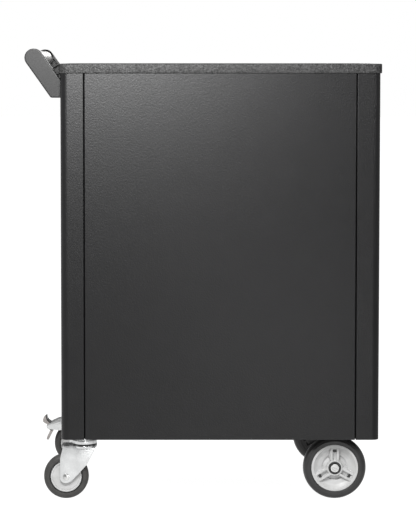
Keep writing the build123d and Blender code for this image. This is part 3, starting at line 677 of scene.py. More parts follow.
class Shade(Enum):
    """Every finish on the chest. A grain finer than about 1 mm is drawn coarser, so that it shows."""

    # Polyester powder baked on to sheet steel: a dry, fine-textured skin that blurs every reflection.
    CABINET = Finish(
        "anthracite_powder_coat", "050506", "09090a", (0.38, 0.43), Grain(50.0), (Grain(3.0, 0.3, 3.0),),
        ior=1.4,
    )
    DRAWER = Finish(
        "drawer_powder_coat", "171718", "202021", (0.42, 0.5), Grain(50.0), (Grain(1.8, 0.05, 3.0),),
        ior=1.46,
    )
    # ABS moulded against a leather-etched tool: soft pebbles in relief. Its colour follows the same height
    # field as the pebbles, darker in the creases and lighter on the tops: painted shade and painted
    # highlight.
    WORKTOP = Finish(
        "leather_grained_abs", "040404", "2b2b2b", (0.5, 0.75), Grain(5.0, 0.0, 3.0, 0.6),
        (Grain(5.0, 1.6, 3.0, 0.6), Grain(1.8, 0.15)), contrast=0.4,
    )
    # Extruded rubber sheet with moulded ribs: matt, nearly black, a little dusty.
    MAT = Finish(
        "ribbed_mat_rubber", "0e0e0e", "1b1b1b", (0.6, 0.75), Grain(30.0, detail=4.0),
        (Grain(1.5, 0.04),),
    )
    # Glass-filled polyamide from a spark-eroded mould: black, very even, with a dry grey sheen.
    BRACKET = Finish(
        "fine_grained_polyamide", "0a0a0a", "101010", (0.42, 0.5),
        Grain(16.0, detail=4.0, distortion=0.5), (Grain(1.4, 0.05),), ior=1.38,
    )
    # Drawn and anodised aluminium: pale satin, with fine lines along its length.
    TUBE = Finish(
        "anodised_tube", "e2e2e0", "f6f6f5", (0.28, 0.4), Grain(9.0),
        (Grain(0.9, 0.005, stretch=(1.0, 0.03, 1.0)),), metallic=1.0,
    )
    PULL = Finish(
        "anodised_pull", "b4b4b2", "cbcbc9", (0.3, 0.42), Grain(9.0),
        (Grain(0.9, 0.005, stretch=(0.03, 1.0, 1.0)),), metallic=1.0,
    )
    # Bright zinc plate on a steel pressing: silver, with a cloudy bloom and slow ripples of the sheet.
    ZINC = Finish(
        "bright_zinc_pressing", "cdcece", "dddede", (0.26, 0.36),
        Grain(22.0, detail=3.0, distortion=0.3), (Grain(30.0, 0.2), Grain(1.5, 0.012)), metallic=1.0,
    )
    # Galvanised strip, rolled into runners and channels: duller and greyer than plate.
    SHEET = Finish(
        "galvanised_sheet", "8f9294", "b2b5b6", (0.32, 0.48),
        Grain(12.0, detail=3.0, pattern=Pattern.PEBBLES), (Grain(1.5, 0.02),), metallic=1.0,
    )
    # Turned and plated steel: smooth and bright, with faint tool marks.
    STEEL = Finish(
        "turned_steel", "b9b9b8", "dededd", (0.18, 0.32), Grain(8.0), (Grain(0.8, 0.01),), metallic=1.0
    )
    # Polypropylene moulded in pale grey: even and slightly waxy.
    RIM = Finish(
        "grey_polypropylene", "a2a2a1", "aeaeae", (0.36, 0.48), Grain(20.0, detail=3.0, distortion=0.5),
        (Grain(1.2, 0.02),),
    )
    # The same polypropylene, darkened: painted shade on the half of each fixed wheel's centre that faces in
    # under the chest.
    CORE = Finish(
        "inner_face_painted_shade", "121212", "1b1b1b", (0.45, 0.55), Grain(20.0, detail=3.0), (Grain(1.2, 0.02),)
    )
    # The same, in the warmer grey of the pedal's pads.
    PAD = Finish(
        "warm_grey_polypropylene", "8a8683", "9c9794", (0.36, 0.48), Grain(20.0, detail=3.0),
        (Grain(1.2, 0.02),),
    )
    # Grey-black rubber tread, moulded and then dusted by the floor.
    TYRE = Finish(
        "tread_rubber", "262524", "353432", (0.5, 0.66), Grain(18.0, detail=5.0), (Grain(2.0, 0.06),)
    )
    # The fixed wheels' tyres: the same rubber, blacker and less worn.
    DARK_TYRE = Finish(
        "wheel_rubber", "171717", "222121", (0.38, 0.52), Grain(24.0, detail=5.0), (Grain(2.2, 0.05),)
    )
    # Black acetal bearing: dense and smooth. The same black finish paints shade in the wheel slots, the
    # caster's tyre gap, the race groove and on the pedal.
    BUSH = Finish("black_acetal_and_painted_shade", "101010", "181818", (0.3, 0.4), Grain(10.0), (Grain(1.0, 0.01),))

    def material(self) -> bpy.types.Material:
        """The finish's material, made the first time that it is asked for."""
        return bpy.data.materials.get(self.value.name) or self.value.material()


def dress(piece: bpy.types.Object, shade: Shade) -> None:
    """Gives the whole piece one finish."""
    piece.data.materials.clear()
    piece.data.materials.append(shade.material())


def settle(
    piece: bpy.types.Object, body: str, shade: Shade, nodes: Sequence[str], angle: float = 32.0
) -> bpy.types.Object:
    """Finishes a new piece: shades and dresses it, and ties it to its body, nodes and material slot.

    Args:
        piece: The modelled piece.
        body: The CAD body that carries it.
        shade: Its finish.
        nodes: The CAD nodes that it stands for, if any.
        angle: The sharpest edge, in degrees, that is shaded smooth.

    Returns:
        The same piece.
    """
    smooth(piece, angle)
    dress(piece, shade)
    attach(piece, body)
    if nodes:
        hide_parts(*nodes)
    LOG.info("%s rides on %s", piece.name, body)
    return piece


# ---- The chest ----------------------------------------------------------------------------------
@dataclass
class Cabinet:
    """The folded shell and everything inside it that keeps its CAD shape.

    Its finishes go by how the name of a CAD node starts or ends.
    """

    finishes: Mapping[str, Shade]

    def build(self, nodes: Mapping[str, bpy.types.Object]) -> None:
        """Dresses each CAD node that stays.

        Args:
            nodes: Every CAD node by its name.
        """
        for name, piece in nodes.items():
            for words, shade in self.finishes.items():
                if name.startswith(words) or name.endswith(words):
                    dress(piece, shade)
                    LOG.info("%s keeps its CAD shape", name)


@dataclass
class Worktop:
    """The moulded top and the ribbed mat that lies in it."""

    corner: float = 18 * MM
    rim: float = 16 * MM
    recess: float = 4 * MM
    edge: float = 2.2 * MM
    mat_corner: float = 7.5 * MM
    mat_margin: float = 6 * MM
    rib_pitch: float = 4 * MM
    rib_width: float = 2.2 * MM
    rib_height: float = 0.9 * MM
    rib_root: float = 0.3 * MM

    def build(self) -> None:
        """Models the top and the mat."""
        self.top()
        self.mat()

    def top(self) -> None:
        """A slab with rounded corners, its upper face inset and sunk to take the mat."""
        low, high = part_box("worktop")
        piece = block("worktop_moulding", low, high)
        with editing(piece):
            pick(piece, Part.EDGES, lambda e: abs(e.verts[0].co.z - e.verts[1].co.z) > self.recess)
            bpy.ops.mesh.bevel(offset=self.corner, segments=10, affect="EDGES")
            pick(piece, Part.FACES, lambda f: f.normal.z > FACING)
            bpy.ops.mesh.inset(thickness=self.rim)
            bpy.ops.mesh.extrude_region_move(TRANSFORM_OT_translate={"value": (0, 0, -self.recess)})
        ease(piece, self.edge, segments=3)
        settle(piece, "cabinet", Shade.WORKTOP, ["worktop"])

    def mat(self) -> None:
        """A thin sheet with a row of rounded ribs along the top's length."""
        low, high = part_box("worktop_mat")
        crown = high - Vector((0, 0, self.rib_height))
        sheet = block("mat_sheet", low, crown)
        with editing(sheet):
            pick(sheet, Part.EDGES, lambda e: abs(e.verts[0].co.z - e.verts[1].co.z) > MM)
            bpy.ops.mesh.bevel(offset=self.mat_corner, segments=6, affect="EDGES")
        margin = self.mat_margin
        start = low.y + margin
        rib = block(
            "mat_rib",
            Vector((low.x + margin, start, crown.z - self.rib_root)),
            Vector((high.x - margin, start + self.rib_width, high.z)),
        )
        ease(rib, 0.35 * MM)
        count = int((high.y - low.y - 2 * margin) / self.rib_pitch)
        apply_modifier(
            rib,
            "ARRAY",
            count=count,
            use_relative_offset=False,
            use_constant_offset=True,
            constant_offset_displace=(0, self.rib_pitch, 0),
        )
        mat = join("ribbed_mat", [sheet, rib])
        settle(mat, "cabinet", Shade.MAT, ["worktop_mat"])


@dataclass
class PushHandle:
    """Two moulded brackets, whose arms lean out by some degrees, and the tube between them."""

    lean: float = 35.2
    end_radius: float = 20 * MM
    thickness: float = 24 * MM
    skin: float = 5 * MM
    wall: float = 4 * MM
    foot_height: float = 891 * MM
    border: float = 3.4 * MM
    sink: float = 0.8 * MM
    edge: float = 1.5 * MM
    ribs: int = 3
    first_rib: float = 30 * MM
    rib_pitch: float = 18 * MM
    tube_wall: float = 2 * MM
    centre: Vector = field(init=False)
    tube_radius: float = field(init=False)

    def build(self) -> None:
        """Models the rear bracket, mirrors it for the front one, and turns the tube."""
        low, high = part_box("handle_tube")
        self.centre = (low + high) / 2
        self.tube_radius = (high.z - low.z) / 2
        wall_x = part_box("side_panel_handle")[1].x
        bracket = self.bracket(wall_x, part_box("handle_brackets")[1].y)
        twin = copy_of(bracket, "handle_bracket_front", mirrored_y(0))
        settle(bracket, "cabinet", Shade.BRACKET, ["handle_brackets"])
        settle(twin, "cabinet", Shade.BRACKET, [])
        self.tube(low.y, high.y)

    def outline(self, wall_x: float) -> list[Corner]:
        """Side view of a bracket: foot, leaning arm and round end.

        Args:
            wall_x: Where the side panel stands.

        Returns:
            The corners, from the foot's inner one.
        """
        lean = math.radians(self.lean)
        along = Vector((math.sin(lean), math.cos(lean)))
        across = Vector((math.cos(lean), -math.sin(lean))) * self.end_radius
        centre = Vector((self.centre.x, self.centre.z))
        outer, inner = centre + across, centre - across
        foot = outer - along * ((outer.y - self.foot_height) / along.y)
        shoulder = inner - along * ((inner.x - wall_x) / along.x)
        round_end = arc(centre, self.end_radius, -self.lean, 180 - self.lean, 20)
        return [
            (wall_x, self.foot_height, 0.0),
            (foot.x, foot.y, 6 * MM),
            *round_end,
            (shoulder.x, shoulder.y, 0.0),
        ]

    def bracket(self, wall_x: float, outer: float) -> bpy.types.Object:
        """The rear bracket: a raised border outside, hollow and ribbed inside, with the tube's socket.

        Args:
            wall_x: Where the side panel stands.
            outer: Where the bracket's outer face lies.

        Returns:
            The bracket.
        """
        inner = outer - self.thickness
        piece = slab("handle_bracket_rear", Plane.SIDE, self.outline(wall_x), inner, outer)

        def on_outer_edge(edge: bmesh.types.BMEdge) -> bool:
            """Whether an edge runs round the outer face, away from the side panel."""
            places = [vertex.co for vertex in edge.verts]
            middles = [face.calc_center_median().y for face in edge.link_faces]
            return (
                min(place.y for place in places) > outer - SAME_POINT
                and max(place.x for place in places) > wall_x + SAME_POINT
                and len(middles) == 2
                and max(middles) > outer - IN_PLANE
                and min(middles) < outer - self.skin
            )

        with editing(piece):
            pick(piece, Part.FACES, lambda f: f.normal.y > FACING)
            bpy.ops.mesh.inset(thickness=self.border)
            bpy.ops.mesh.extrude_region_move(TRANSFORM_OT_translate={"value": (0, -self.sink, 0)})
            pick(piece, Part.EDGES, on_outer_edge)
            bpy.ops.mesh.bevel(offset=self.edge, segments=3, affect="EDGES")
            pick(piece, Part.FACES, lambda f: f.normal.y < -FACING)
            bpy.ops.mesh.inset(thickness=self.wall)
            depth = self.thickness - self.skin
            bpy.ops.mesh.extrude_region_move(TRANSFORM_OT_translate={"value": (0, depth, 0)})
        inside = [self.foot_block(wall_x, inner, outer)]
        inside += [self.rib(index, inner, outer) for index in range(self.ribs)]
        for part in inside:
            ease(part, 0.5 * MM)
        return join("handle_bracket_rear", [piece, self.boss(inner, outer), *inside])

    def boss(self, inner: float, outer: float) -> bpy.types.Object:
        """The socket round the tube.

        Args:
            inner: Where the bracket's inner face lies.
            outer: Where its outer face lies.

        Returns:
            The socket.
        """
        bore, rim = self.tube_radius + 0.1 * MM, self.tube_radius + self.wall - 0.3 * MM
        end = outer - self.skin
        section = [(bore, inner, 0.0), (rim, inner, 0.0), (rim, end, 0.0), (bore, end, 0.0)]
        centre = Vector((self.centre.x, 0, self.centre.z))
        return turned("bracket_boss", section, centre, Y_AXIS, 48, closed=True)

    def foot_block(self, wall_x: float, inner: float, outer: float) -> bpy.types.Object:
        """The solid foot that the bolts run into.

        Args:
            wall_x: Where the side panel stands.
            inner: Where the bracket's inner face lies.
            outer: Where its outer face lies.

        Returns:
            The block.
        """
        low = Vector((wall_x + 0.2 * MM, inner + 0.4 * MM, self.foot_height + 2 * MM))
        high = Vector((wall_x + 15 * MM, outer - self.skin, self.foot_height + 33 * MM))
        return block("bracket_foot", low, high)

    def rib(self, index: int, inner: float, outer: float) -> bpy.types.Object:
        """One cross rib of the hollow arm, square to the arm.

        Args:
            index: Which rib, counted from the tube.
            inner: Where the bracket's inner face lies.
            outer: Where its outer face lies.

        Returns:
            The rib.
        """
        lean = math.radians(self.lean)
        down = self.first_rib + self.rib_pitch * index
        at = Vector((self.centre.x - down * math.sin(lean), 0, self.centre.z - down * math.cos(lean)))
        half = Vector((self.end_radius - 1 * MM, 0, 1.2 * MM))
        low = Vector((at.x - half.x, inner + 1 * MM, at.z - half.z))
        high = Vector((at.x + half.x, outer - self.skin + 0.5 * MM, at.z + half.z))
        rib = block(f"bracket_rib_{index}", low, high)
        rib.data.transform(spun(at, "Y", self.lean))
        return rib

    def tube(self, low: float, high: float) -> None:
        """The push bar, with eased ends inside the sockets.

        Args:
            low: Where it starts.
            high: Where it ends.
        """
        radius, bore, eased = self.tube_radius, self.tube_radius - self.tube_wall, 0.6 * MM
        section = [(radius, low, eased), (radius, high, eased), (bore, high, 0.0), (bore, low, 0.0)]
        centre = Vector((self.centre.x, 0, self.centre.z))
        tube = turned("push_bar", section, centre, Y_AXIS, 64, closed=True)
        settle(tube, "cabinet", Shade.TUBE, ["handle_tube"])


@dataclass
class SwivelCaster:
    """One swivel caster: pressed fork with its race, axle bolt and wheel."""

    where: str
    braked: bool
    fork_sheet: float = 2.5 * MM
    leg_face: float = 21.5 * MM
    crown_top: float = 120.4 * MM
    bend: float = 5.0 * MM
    crease: tuple[float, float] = (12 * MM, 28 * MM)
    crease_top: float = 8 * MM
    crease_depth: float = 2.0 * MM
    head_radius: float = 28.4 * MM
    hub: Vector = field(init=False)
    radius: float = field(init=False)
    half: float = field(init=False)
    pivot: Vector = field(init=False)
    body: str = field(init=False)

    def build(self) -> None:
        """Models the caster's pieces about its own axle and swivel axis."""
        low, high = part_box(f"caster_{self.where}_tyre")
        self.hub = (low + high) / 2
        self.radius = (high.z - low.z) / 2
        self.half = (high.y - low.y) / 2
        fork_low, fork_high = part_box(f"caster_{self.where}_fork")
        self.pivot = Vector((fork_low.x + self.head_radius + 0.1 * MM, self.hub.y, 0))
        self.body = f"caster_{self.where}"
        self.tyre()
        self.rim()
        self.fork(fork_high.z)
        self.dark_reflection_ring()
        self.axle()

    def tyre(self) -> None:
        """Rubber tread with rounded shoulders, and a black ring at the floor of the gap between it and the
        wheel centre, as painted shade.
        """
        half, radius = self.half, self.radius
        bead = [
            (35.0 * MM, -half + 9 * MM, 0.0),
            (36.6 * MM, -half + 9 * MM, 0.0),
            (36.9 * MM, -half, 1.0 * MM),
            (44.0 * MM, -half, 3.0 * MM),
            (radius - 0.6 * MM, -half + 6 * MM, 4.0 * MM),
        ]
        section = both_faces(bead, [(radius, 0, 6.0 * MM)])
        tyre = turned(f"{self.body}_tread", section, self.hub, Y_AXIS, 96, closed=True)
        settle(tyre, f"{self.body}_wheel", Shade.TYRE, [f"{self.body}_tyre"])
        # Painted shade: a black ring at the floor of the gap between tread and centre.
        edge = half - 2.0 * MM
        gap_shade_section = both_faces([(35.0 * MM, -edge, 0.0), (36.5 * MM, -edge, 0.0)])
        gap_shade_ring = turned(f"{self.body}_sleeve", gap_shade_section, self.hub, Y_AXIS, 96, closed=True)
        settle(gap_shade_ring, f"{self.body}_wheel", Shade.BUSH, [])

    def rim(self) -> None:
        """The moulded wheel centre: a flat disc with a faint groove near its edge, and a hub."""
        half = self.half
        near = [
            (4.1 * MM, -18.4 * MM, 0.0),
            (9.5 * MM, -18.4 * MM, 0.6 * MM),
            (10.5 * MM, -half + 1.6 * MM, 1.0 * MM),
            (29.4 * MM, -half + 1.2 * MM, 0.2 * MM),
            (29.9 * MM, -half + 1.9 * MM, 0.2 * MM),
            (30.7 * MM, -half + 1.9 * MM, 0.2 * MM),
            (31.2 * MM, -half + 1.0 * MM, 0.2 * MM),
            (34.1 * MM, -half + 1.0 * MM, 0.8 * MM),
            (34.9 * MM, -half + 9.5 * MM, 0.4 * MM),
        ]
        rim = turned(f"{self.body}_centre", both_faces(near), self.hub, Y_AXIS, 72, closed=True)
        settle(rim, f"{self.body}_wheel", Shade.RIM, [f"{self.body}_rim"])

    def leg_outline(self) -> list[Corner]:
        """Side view of the fork: wide under the head, sloping in to a round end at the axle.

        Returns:
            The corners, from the crown's outer one.
        """
        pivot, hub = self.pivot.x, self.hub
        top, end = self.crown_top, 13.0 * MM
        return [
            (pivot - 26 * MM, top, 2.5 * MM),
            (pivot - 25 * MM, top - 7 * MM, 4 * MM),
            (pivot - 6 * MM, 78 * MM, 14 * MM),
            (hub.x - 12 * MM, hub.z - end + 4 * MM, 9 * MM),
            (hub.x - 1 * MM, hub.z - end, 4 * MM),
            (hub.x + end, hub.z - end + 0.5 * MM, end * 0.9),
            (hub.x + end, 92 * MM, 12 * MM),
            (pivot + 46 * MM, top, 2.5 * MM),
        ]

    def fork(self, cup_top: float) -> None:
        """The pressed yoke: one bent channel with a crease down each leg, and the lower race on top.

        Args:
            cup_top: How high the race's lip stands.
        """
        middle_y, face, sheet, top = self.hub.y, self.leg_face, self.fork_sheet, self.crown_top
        yoke = slab(
            f"{self.body}_yoke", Plane.SIDE, self.leg_outline(), middle_y - face, middle_y + face
        )
        self.round_top(yoke, top, face, self.bend)
        front, back, ceiling = self.pivot.x - 60 * MM, self.pivot.x + 90 * MM, top - sheet
        hollow = [(front, 20 * MM, 0.0), (back, 20 * MM, 0.0), (back, ceiling, 0.0), (front, ceiling, 0.0)]
        inner = face - sheet
        inside = slab("fork_inside", Plane.SIDE, hollow, middle_y - inner, middle_y + inner)
        self.round_top(inside, ceiling, inner, self.bend - sheet)
        cut(yoke, inside)
        self.press(yoke)
        ease(yoke, 0.5 * MM, angle=50)
        fork = join(f"{self.body}_yoke", [yoke, self.cup(cup_top)])
        settle(fork, self.body, Shade.ZINC, [f"{self.body}_fork"], angle=40)

    def round_top(self, piece: bpy.types.Object, top: float, face: float, radius: float) -> None:
        """Rounds the two long upper edges, where the crown turns down into the legs.

        Args:
            piece: The channel, or what is taken out of it.
            top: How high its top is.
            face: How far its sides stand from its middle.
            radius: The bend's radius.
        """

        def on_edge(edge: bmesh.types.BMEdge) -> bool:
            """Whether an edge is one of the two."""
            places = [vertex.co for vertex in edge.verts]
            return all(
                place.z > top - IN_PLANE and abs(place.y - self.hub.y) > face - IN_PLANE for place in places
            )

        with editing(piece):
            pick(piece, Part.EDGES, on_edge)
            bpy.ops.mesh.bevel(offset=radius, segments=5, affect="EDGES")

    def press(self, yoke: bpy.types.Object) -> None:
        """Presses the front of each leg outwards, with a slope between it and the rest.

        Args:
            yoke: The bent channel.
        """
        low, high = (self.pivot.x + place for place in self.crease)
        top = self.crown_top - self.crease_top
        inner = self.leg_face - self.fork_sheet

        def on_leg(vertex: bmesh.types.BMVert, side: int) -> bool:
            """Whether a point lies on the part of one leg that is pressed outwards."""
            out = side * (vertex.co.y - self.hub.y)
            return vertex.co.x < low + IN_PLANE and vertex.co.z < top + 0.1 * MM and out > inner - IN_PLANE

        with editing(yoke):
            for point, normal in (((low, 0, 0), X_AXIS), ((high, 0, 0), X_AXIS), ((0, 0, top), Z_AXIS)):
                bpy.ops.mesh.select_all(action="SELECT")
                bpy.ops.mesh.bisect(plane_co=point, plane_no=normal)
            for side in SIDES:
                pick(yoke, Part.POINTS, lambda v, way=side: on_leg(v, way))
                bpy.ops.transform.translate(value=(0, side * self.crease_depth, 0))

    def dark_reflection_ring(self) -> None:
        """A black ring in the groove of the race, standing in for a dark reflection line: painted
        reflection.
        """
        inner, low, high, eased = self.head_radius - 2.4 * MM, 121.4 * MM, 123.4 * MM, 0.5 * MM
        outer = inner + 1.4 * MM
        section = [(inner, low, 0.0), (outer, low, eased), (outer, high, eased), (inner, high, 0.0)]
        dark_reflection_ring = turned(f"{self.body}_seal", section, self.pivot, Z_AXIS, 64, closed=True)
        settle(dark_reflection_ring, self.body, Shade.BUSH, [])

    def cup(self, top: float) -> bpy.types.Object:
        """The lower race: a pressed dish that bulges past the legs, a groove, and a rolled lip above.

        Args:
            top: How high the lip stands.

        Returns:
            The race.
        """
        radius = self.head_radius
        section = [
            (0.0, 113.2 * MM, 0.0),
            (radius - 7.0 * MM, 113.2 * MM, 2.0 * MM),
            (radius - 0.8 * MM, 115.0 * MM, 1.5 * MM),
            (radius, 119.4 * MM, 1.5 * MM),
            (radius - 2.2 * MM, 121.6 * MM, 0.8 * MM),
            (radius - 2.2 * MM, 123.0 * MM, 0.6 * MM),
            (radius, 124.6 * MM, 1.0 * MM),
            (radius, top, 0.9 * MM),
            (radius - 2.6 * MM, top, 0.8 * MM),
            (radius - 3.0 * MM, 126.0 * MM, 0.5 * MM),
            (0.0, 125.2 * MM, 0.0),
        ]
        return turned("fork_cup", section, self.pivot, Z_AXIS, 64, closed=False)

    def axle(self) -> None:
        """The axle bolt with a six-sided head and a six-sided nut, each on a washer; the braked caster adds
        a pin.
        """
        hub, face = self.hub, self.leg_face
        parts = [round_bar(f"{self.body}_bolt", hub - Y_AXIS * face, hub + Y_AXIS * face, 3.95 * MM)]
        for side in SIDES:
            out = Y_AXIS * side
            washer = round_bar("washer", hub + out * face, hub + out * (face + 0.9 * MM), 7.4 * MM)
            ease(washer, 0.25 * MM)
            head = round_bar("head", hub + out * face, hub + out * (face + 4.4 * MM), 6.2 * MM, sides=6)
            ease(head, 0.6 * MM, segments=3)
            parts += [washer, head]
        if self.braked:
            spring_low, spring_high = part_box("brake_spring")
            pin = (spring_low + spring_high) / 2
            pin.y = hub.y
            reach = Y_AXIS * (face + 1.5 * MM)
            bar = round_bar("pin", pin - reach, pin + reach, 2.95 * MM)
            ease(bar, 0.5 * MM)
            parts.append(bar)
        bolt = join(f"{self.body}_axle_bolt", parts)
        settle(bolt, self.body, Shade.STEEL, [f"{self.body}_axle"])


@dataclass
class BrakePedal:
    """The foot pedal of the braked caster: a pressed hood, two foot pads and black strips of painted shade
    on them.

    Its sizes are in millimetres, ahead of the swivel axis and above the floor.
    """

    skin: float = 2.0
    discs: tuple[Corner, ...] = ((45.0, 109.0, 7.0), (78.0, 95.0, 13.0), (103.0, 91.0, 6.0))
    shoe: tuple[Corner, ...] = ((56.5, 107.0, 4.5), (58.5, 104.0, 3.0))
    skirt: float = 55.0
    pad_half: float = 14.0
    pivot: Vector = field(init=False)
    middle_y: float = field(init=False)
    half: float = field(init=False)

    def build(self, caster: SwivelCaster) -> None:
        """Models the pedal.

        Args:
            caster: The caster that it hangs on.
        """
        low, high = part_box("brake_pedal")
        self.pivot = caster.pivot
        self.middle_y = (low.y + high.y) / 2
        self.half = (high.y - low.y) / 2
        self.hood()
        self.pads()
        self.shade_strips()

    def plate(self, name: str, corners: Sequence[Corner], half: float) -> bpy.types.Object:
        """A piece of one side outline.

        Args:
            name: The piece's name.
            corners: The outline, in millimetres.
            half: Half of its width, in metres.

        Returns:
            The closed piece.
        """
        outline = [(self.pivot.x + x * MM, z * MM, radius * MM) for x, z, radius in corners]
        return slab(name, Plane.SIDE, outline, self.middle_y - half, self.middle_y + half)

    def hood(self) -> None:
        """The pressed hood, open below, with the brake shoe under it and holes for the pin."""
        piece = self.plate("pedal_hood", band(self.discs), self.half)
        inner = [(x, z, radius - self.skin) for x, z, radius in self.discs]
        first, last = inner[0], inner[-1]
        mouth = [(first[0] - first[2], self.skirt, 0.0), (last[0] + last[2], self.skirt, 0.0)]
        inside = self.plate("pedal_inside", [*over(inner), *mouth], self.half - self.skin * MM)
        cut(piece, inside)
        reach = Vector((0, self.half + MM, 0))
        pin = self.pivot + Vector((self.discs[0][0] * MM, 0, self.discs[0][1] * MM))
        pin.y = self.middle_y
        cut(piece, round_bar("pin_hole", pin - reach, pin + reach, 3.2 * MM))
        ease(piece, 0.4 * MM, angle=50)
        shoe = self.plate("pedal_shoe", band(self.shoe), self.half - 0.6 * MM)
        pedal = join("pedal_hood", [piece, shoe])
        settle(pedal, "brake_pedal", Shade.ZINC, ["brake_pedal"], angle=40)

    def pads(self) -> None:
        """The scooped pad that is pressed down and the straight one that is flicked up."""
        scoop = [
            (100.5, 99.5, 0.5), (104.5, 102.0, 3.0), (108.6, 107.0, 6.0), (110.2, 115.2, 0.8),
            (113.6, 113.8, 2.0), (117.6, 108.5, 3.0), (117.6, 102.0, 4.0), (111.0, 97.6, 4.0),
            (102.5, 95.0, 1.0),
        ]
        bar = [(90.6, 84.4, 0.5), (96.8, 87.0, 0.5), (109.3, 61.0, 2.6), (104.4, 57.6, 2.6)]
        parts = [
            self.plate("scoop", scoop, self.pad_half * MM),
            self.plate("bar", bar, self.half - 1 * MM),
        ]
        for part in parts:
            ease(part, 0.8 * MM, segments=3, angle=50)
        pads = join("pedal_pads", parts)
        settle(pads, "brake_pedal", Shade.PAD, [])

    def shade_strips(self) -> None:
        """Black strips on the scooped pad's hollow face and at the top of the straight pad, under the hood:
        painted shade.
        """
        above = [
            (98.5, 100.6, 0.4), (103.2, 103.6, 3.0), (107.0, 108.2, 6.0), (108.4, 116.6, 0.6),
            (110.8, 115.8, 0.6), (109.2, 107.0, 6.0), (104.9, 101.8, 3.0), (99.5, 98.2, 0.4),
        ]
        below = [
            (93.6, 84.6, 0.8), (95.0, 81.4, 0.8), (99.2, 82.2, 0.4), (104.4, 85.8, 0.8), (103.0, 88.4, 0.8),
        ]
        parts = [
            self.plate("above", above, self.pad_half * MM),
            self.plate("below", below, self.half - 0.5 * MM),
        ]
        shade_strips = join("pedal_treads", parts)
        settle(shade_strips, "brake_pedal", Shade.BUSH, [])


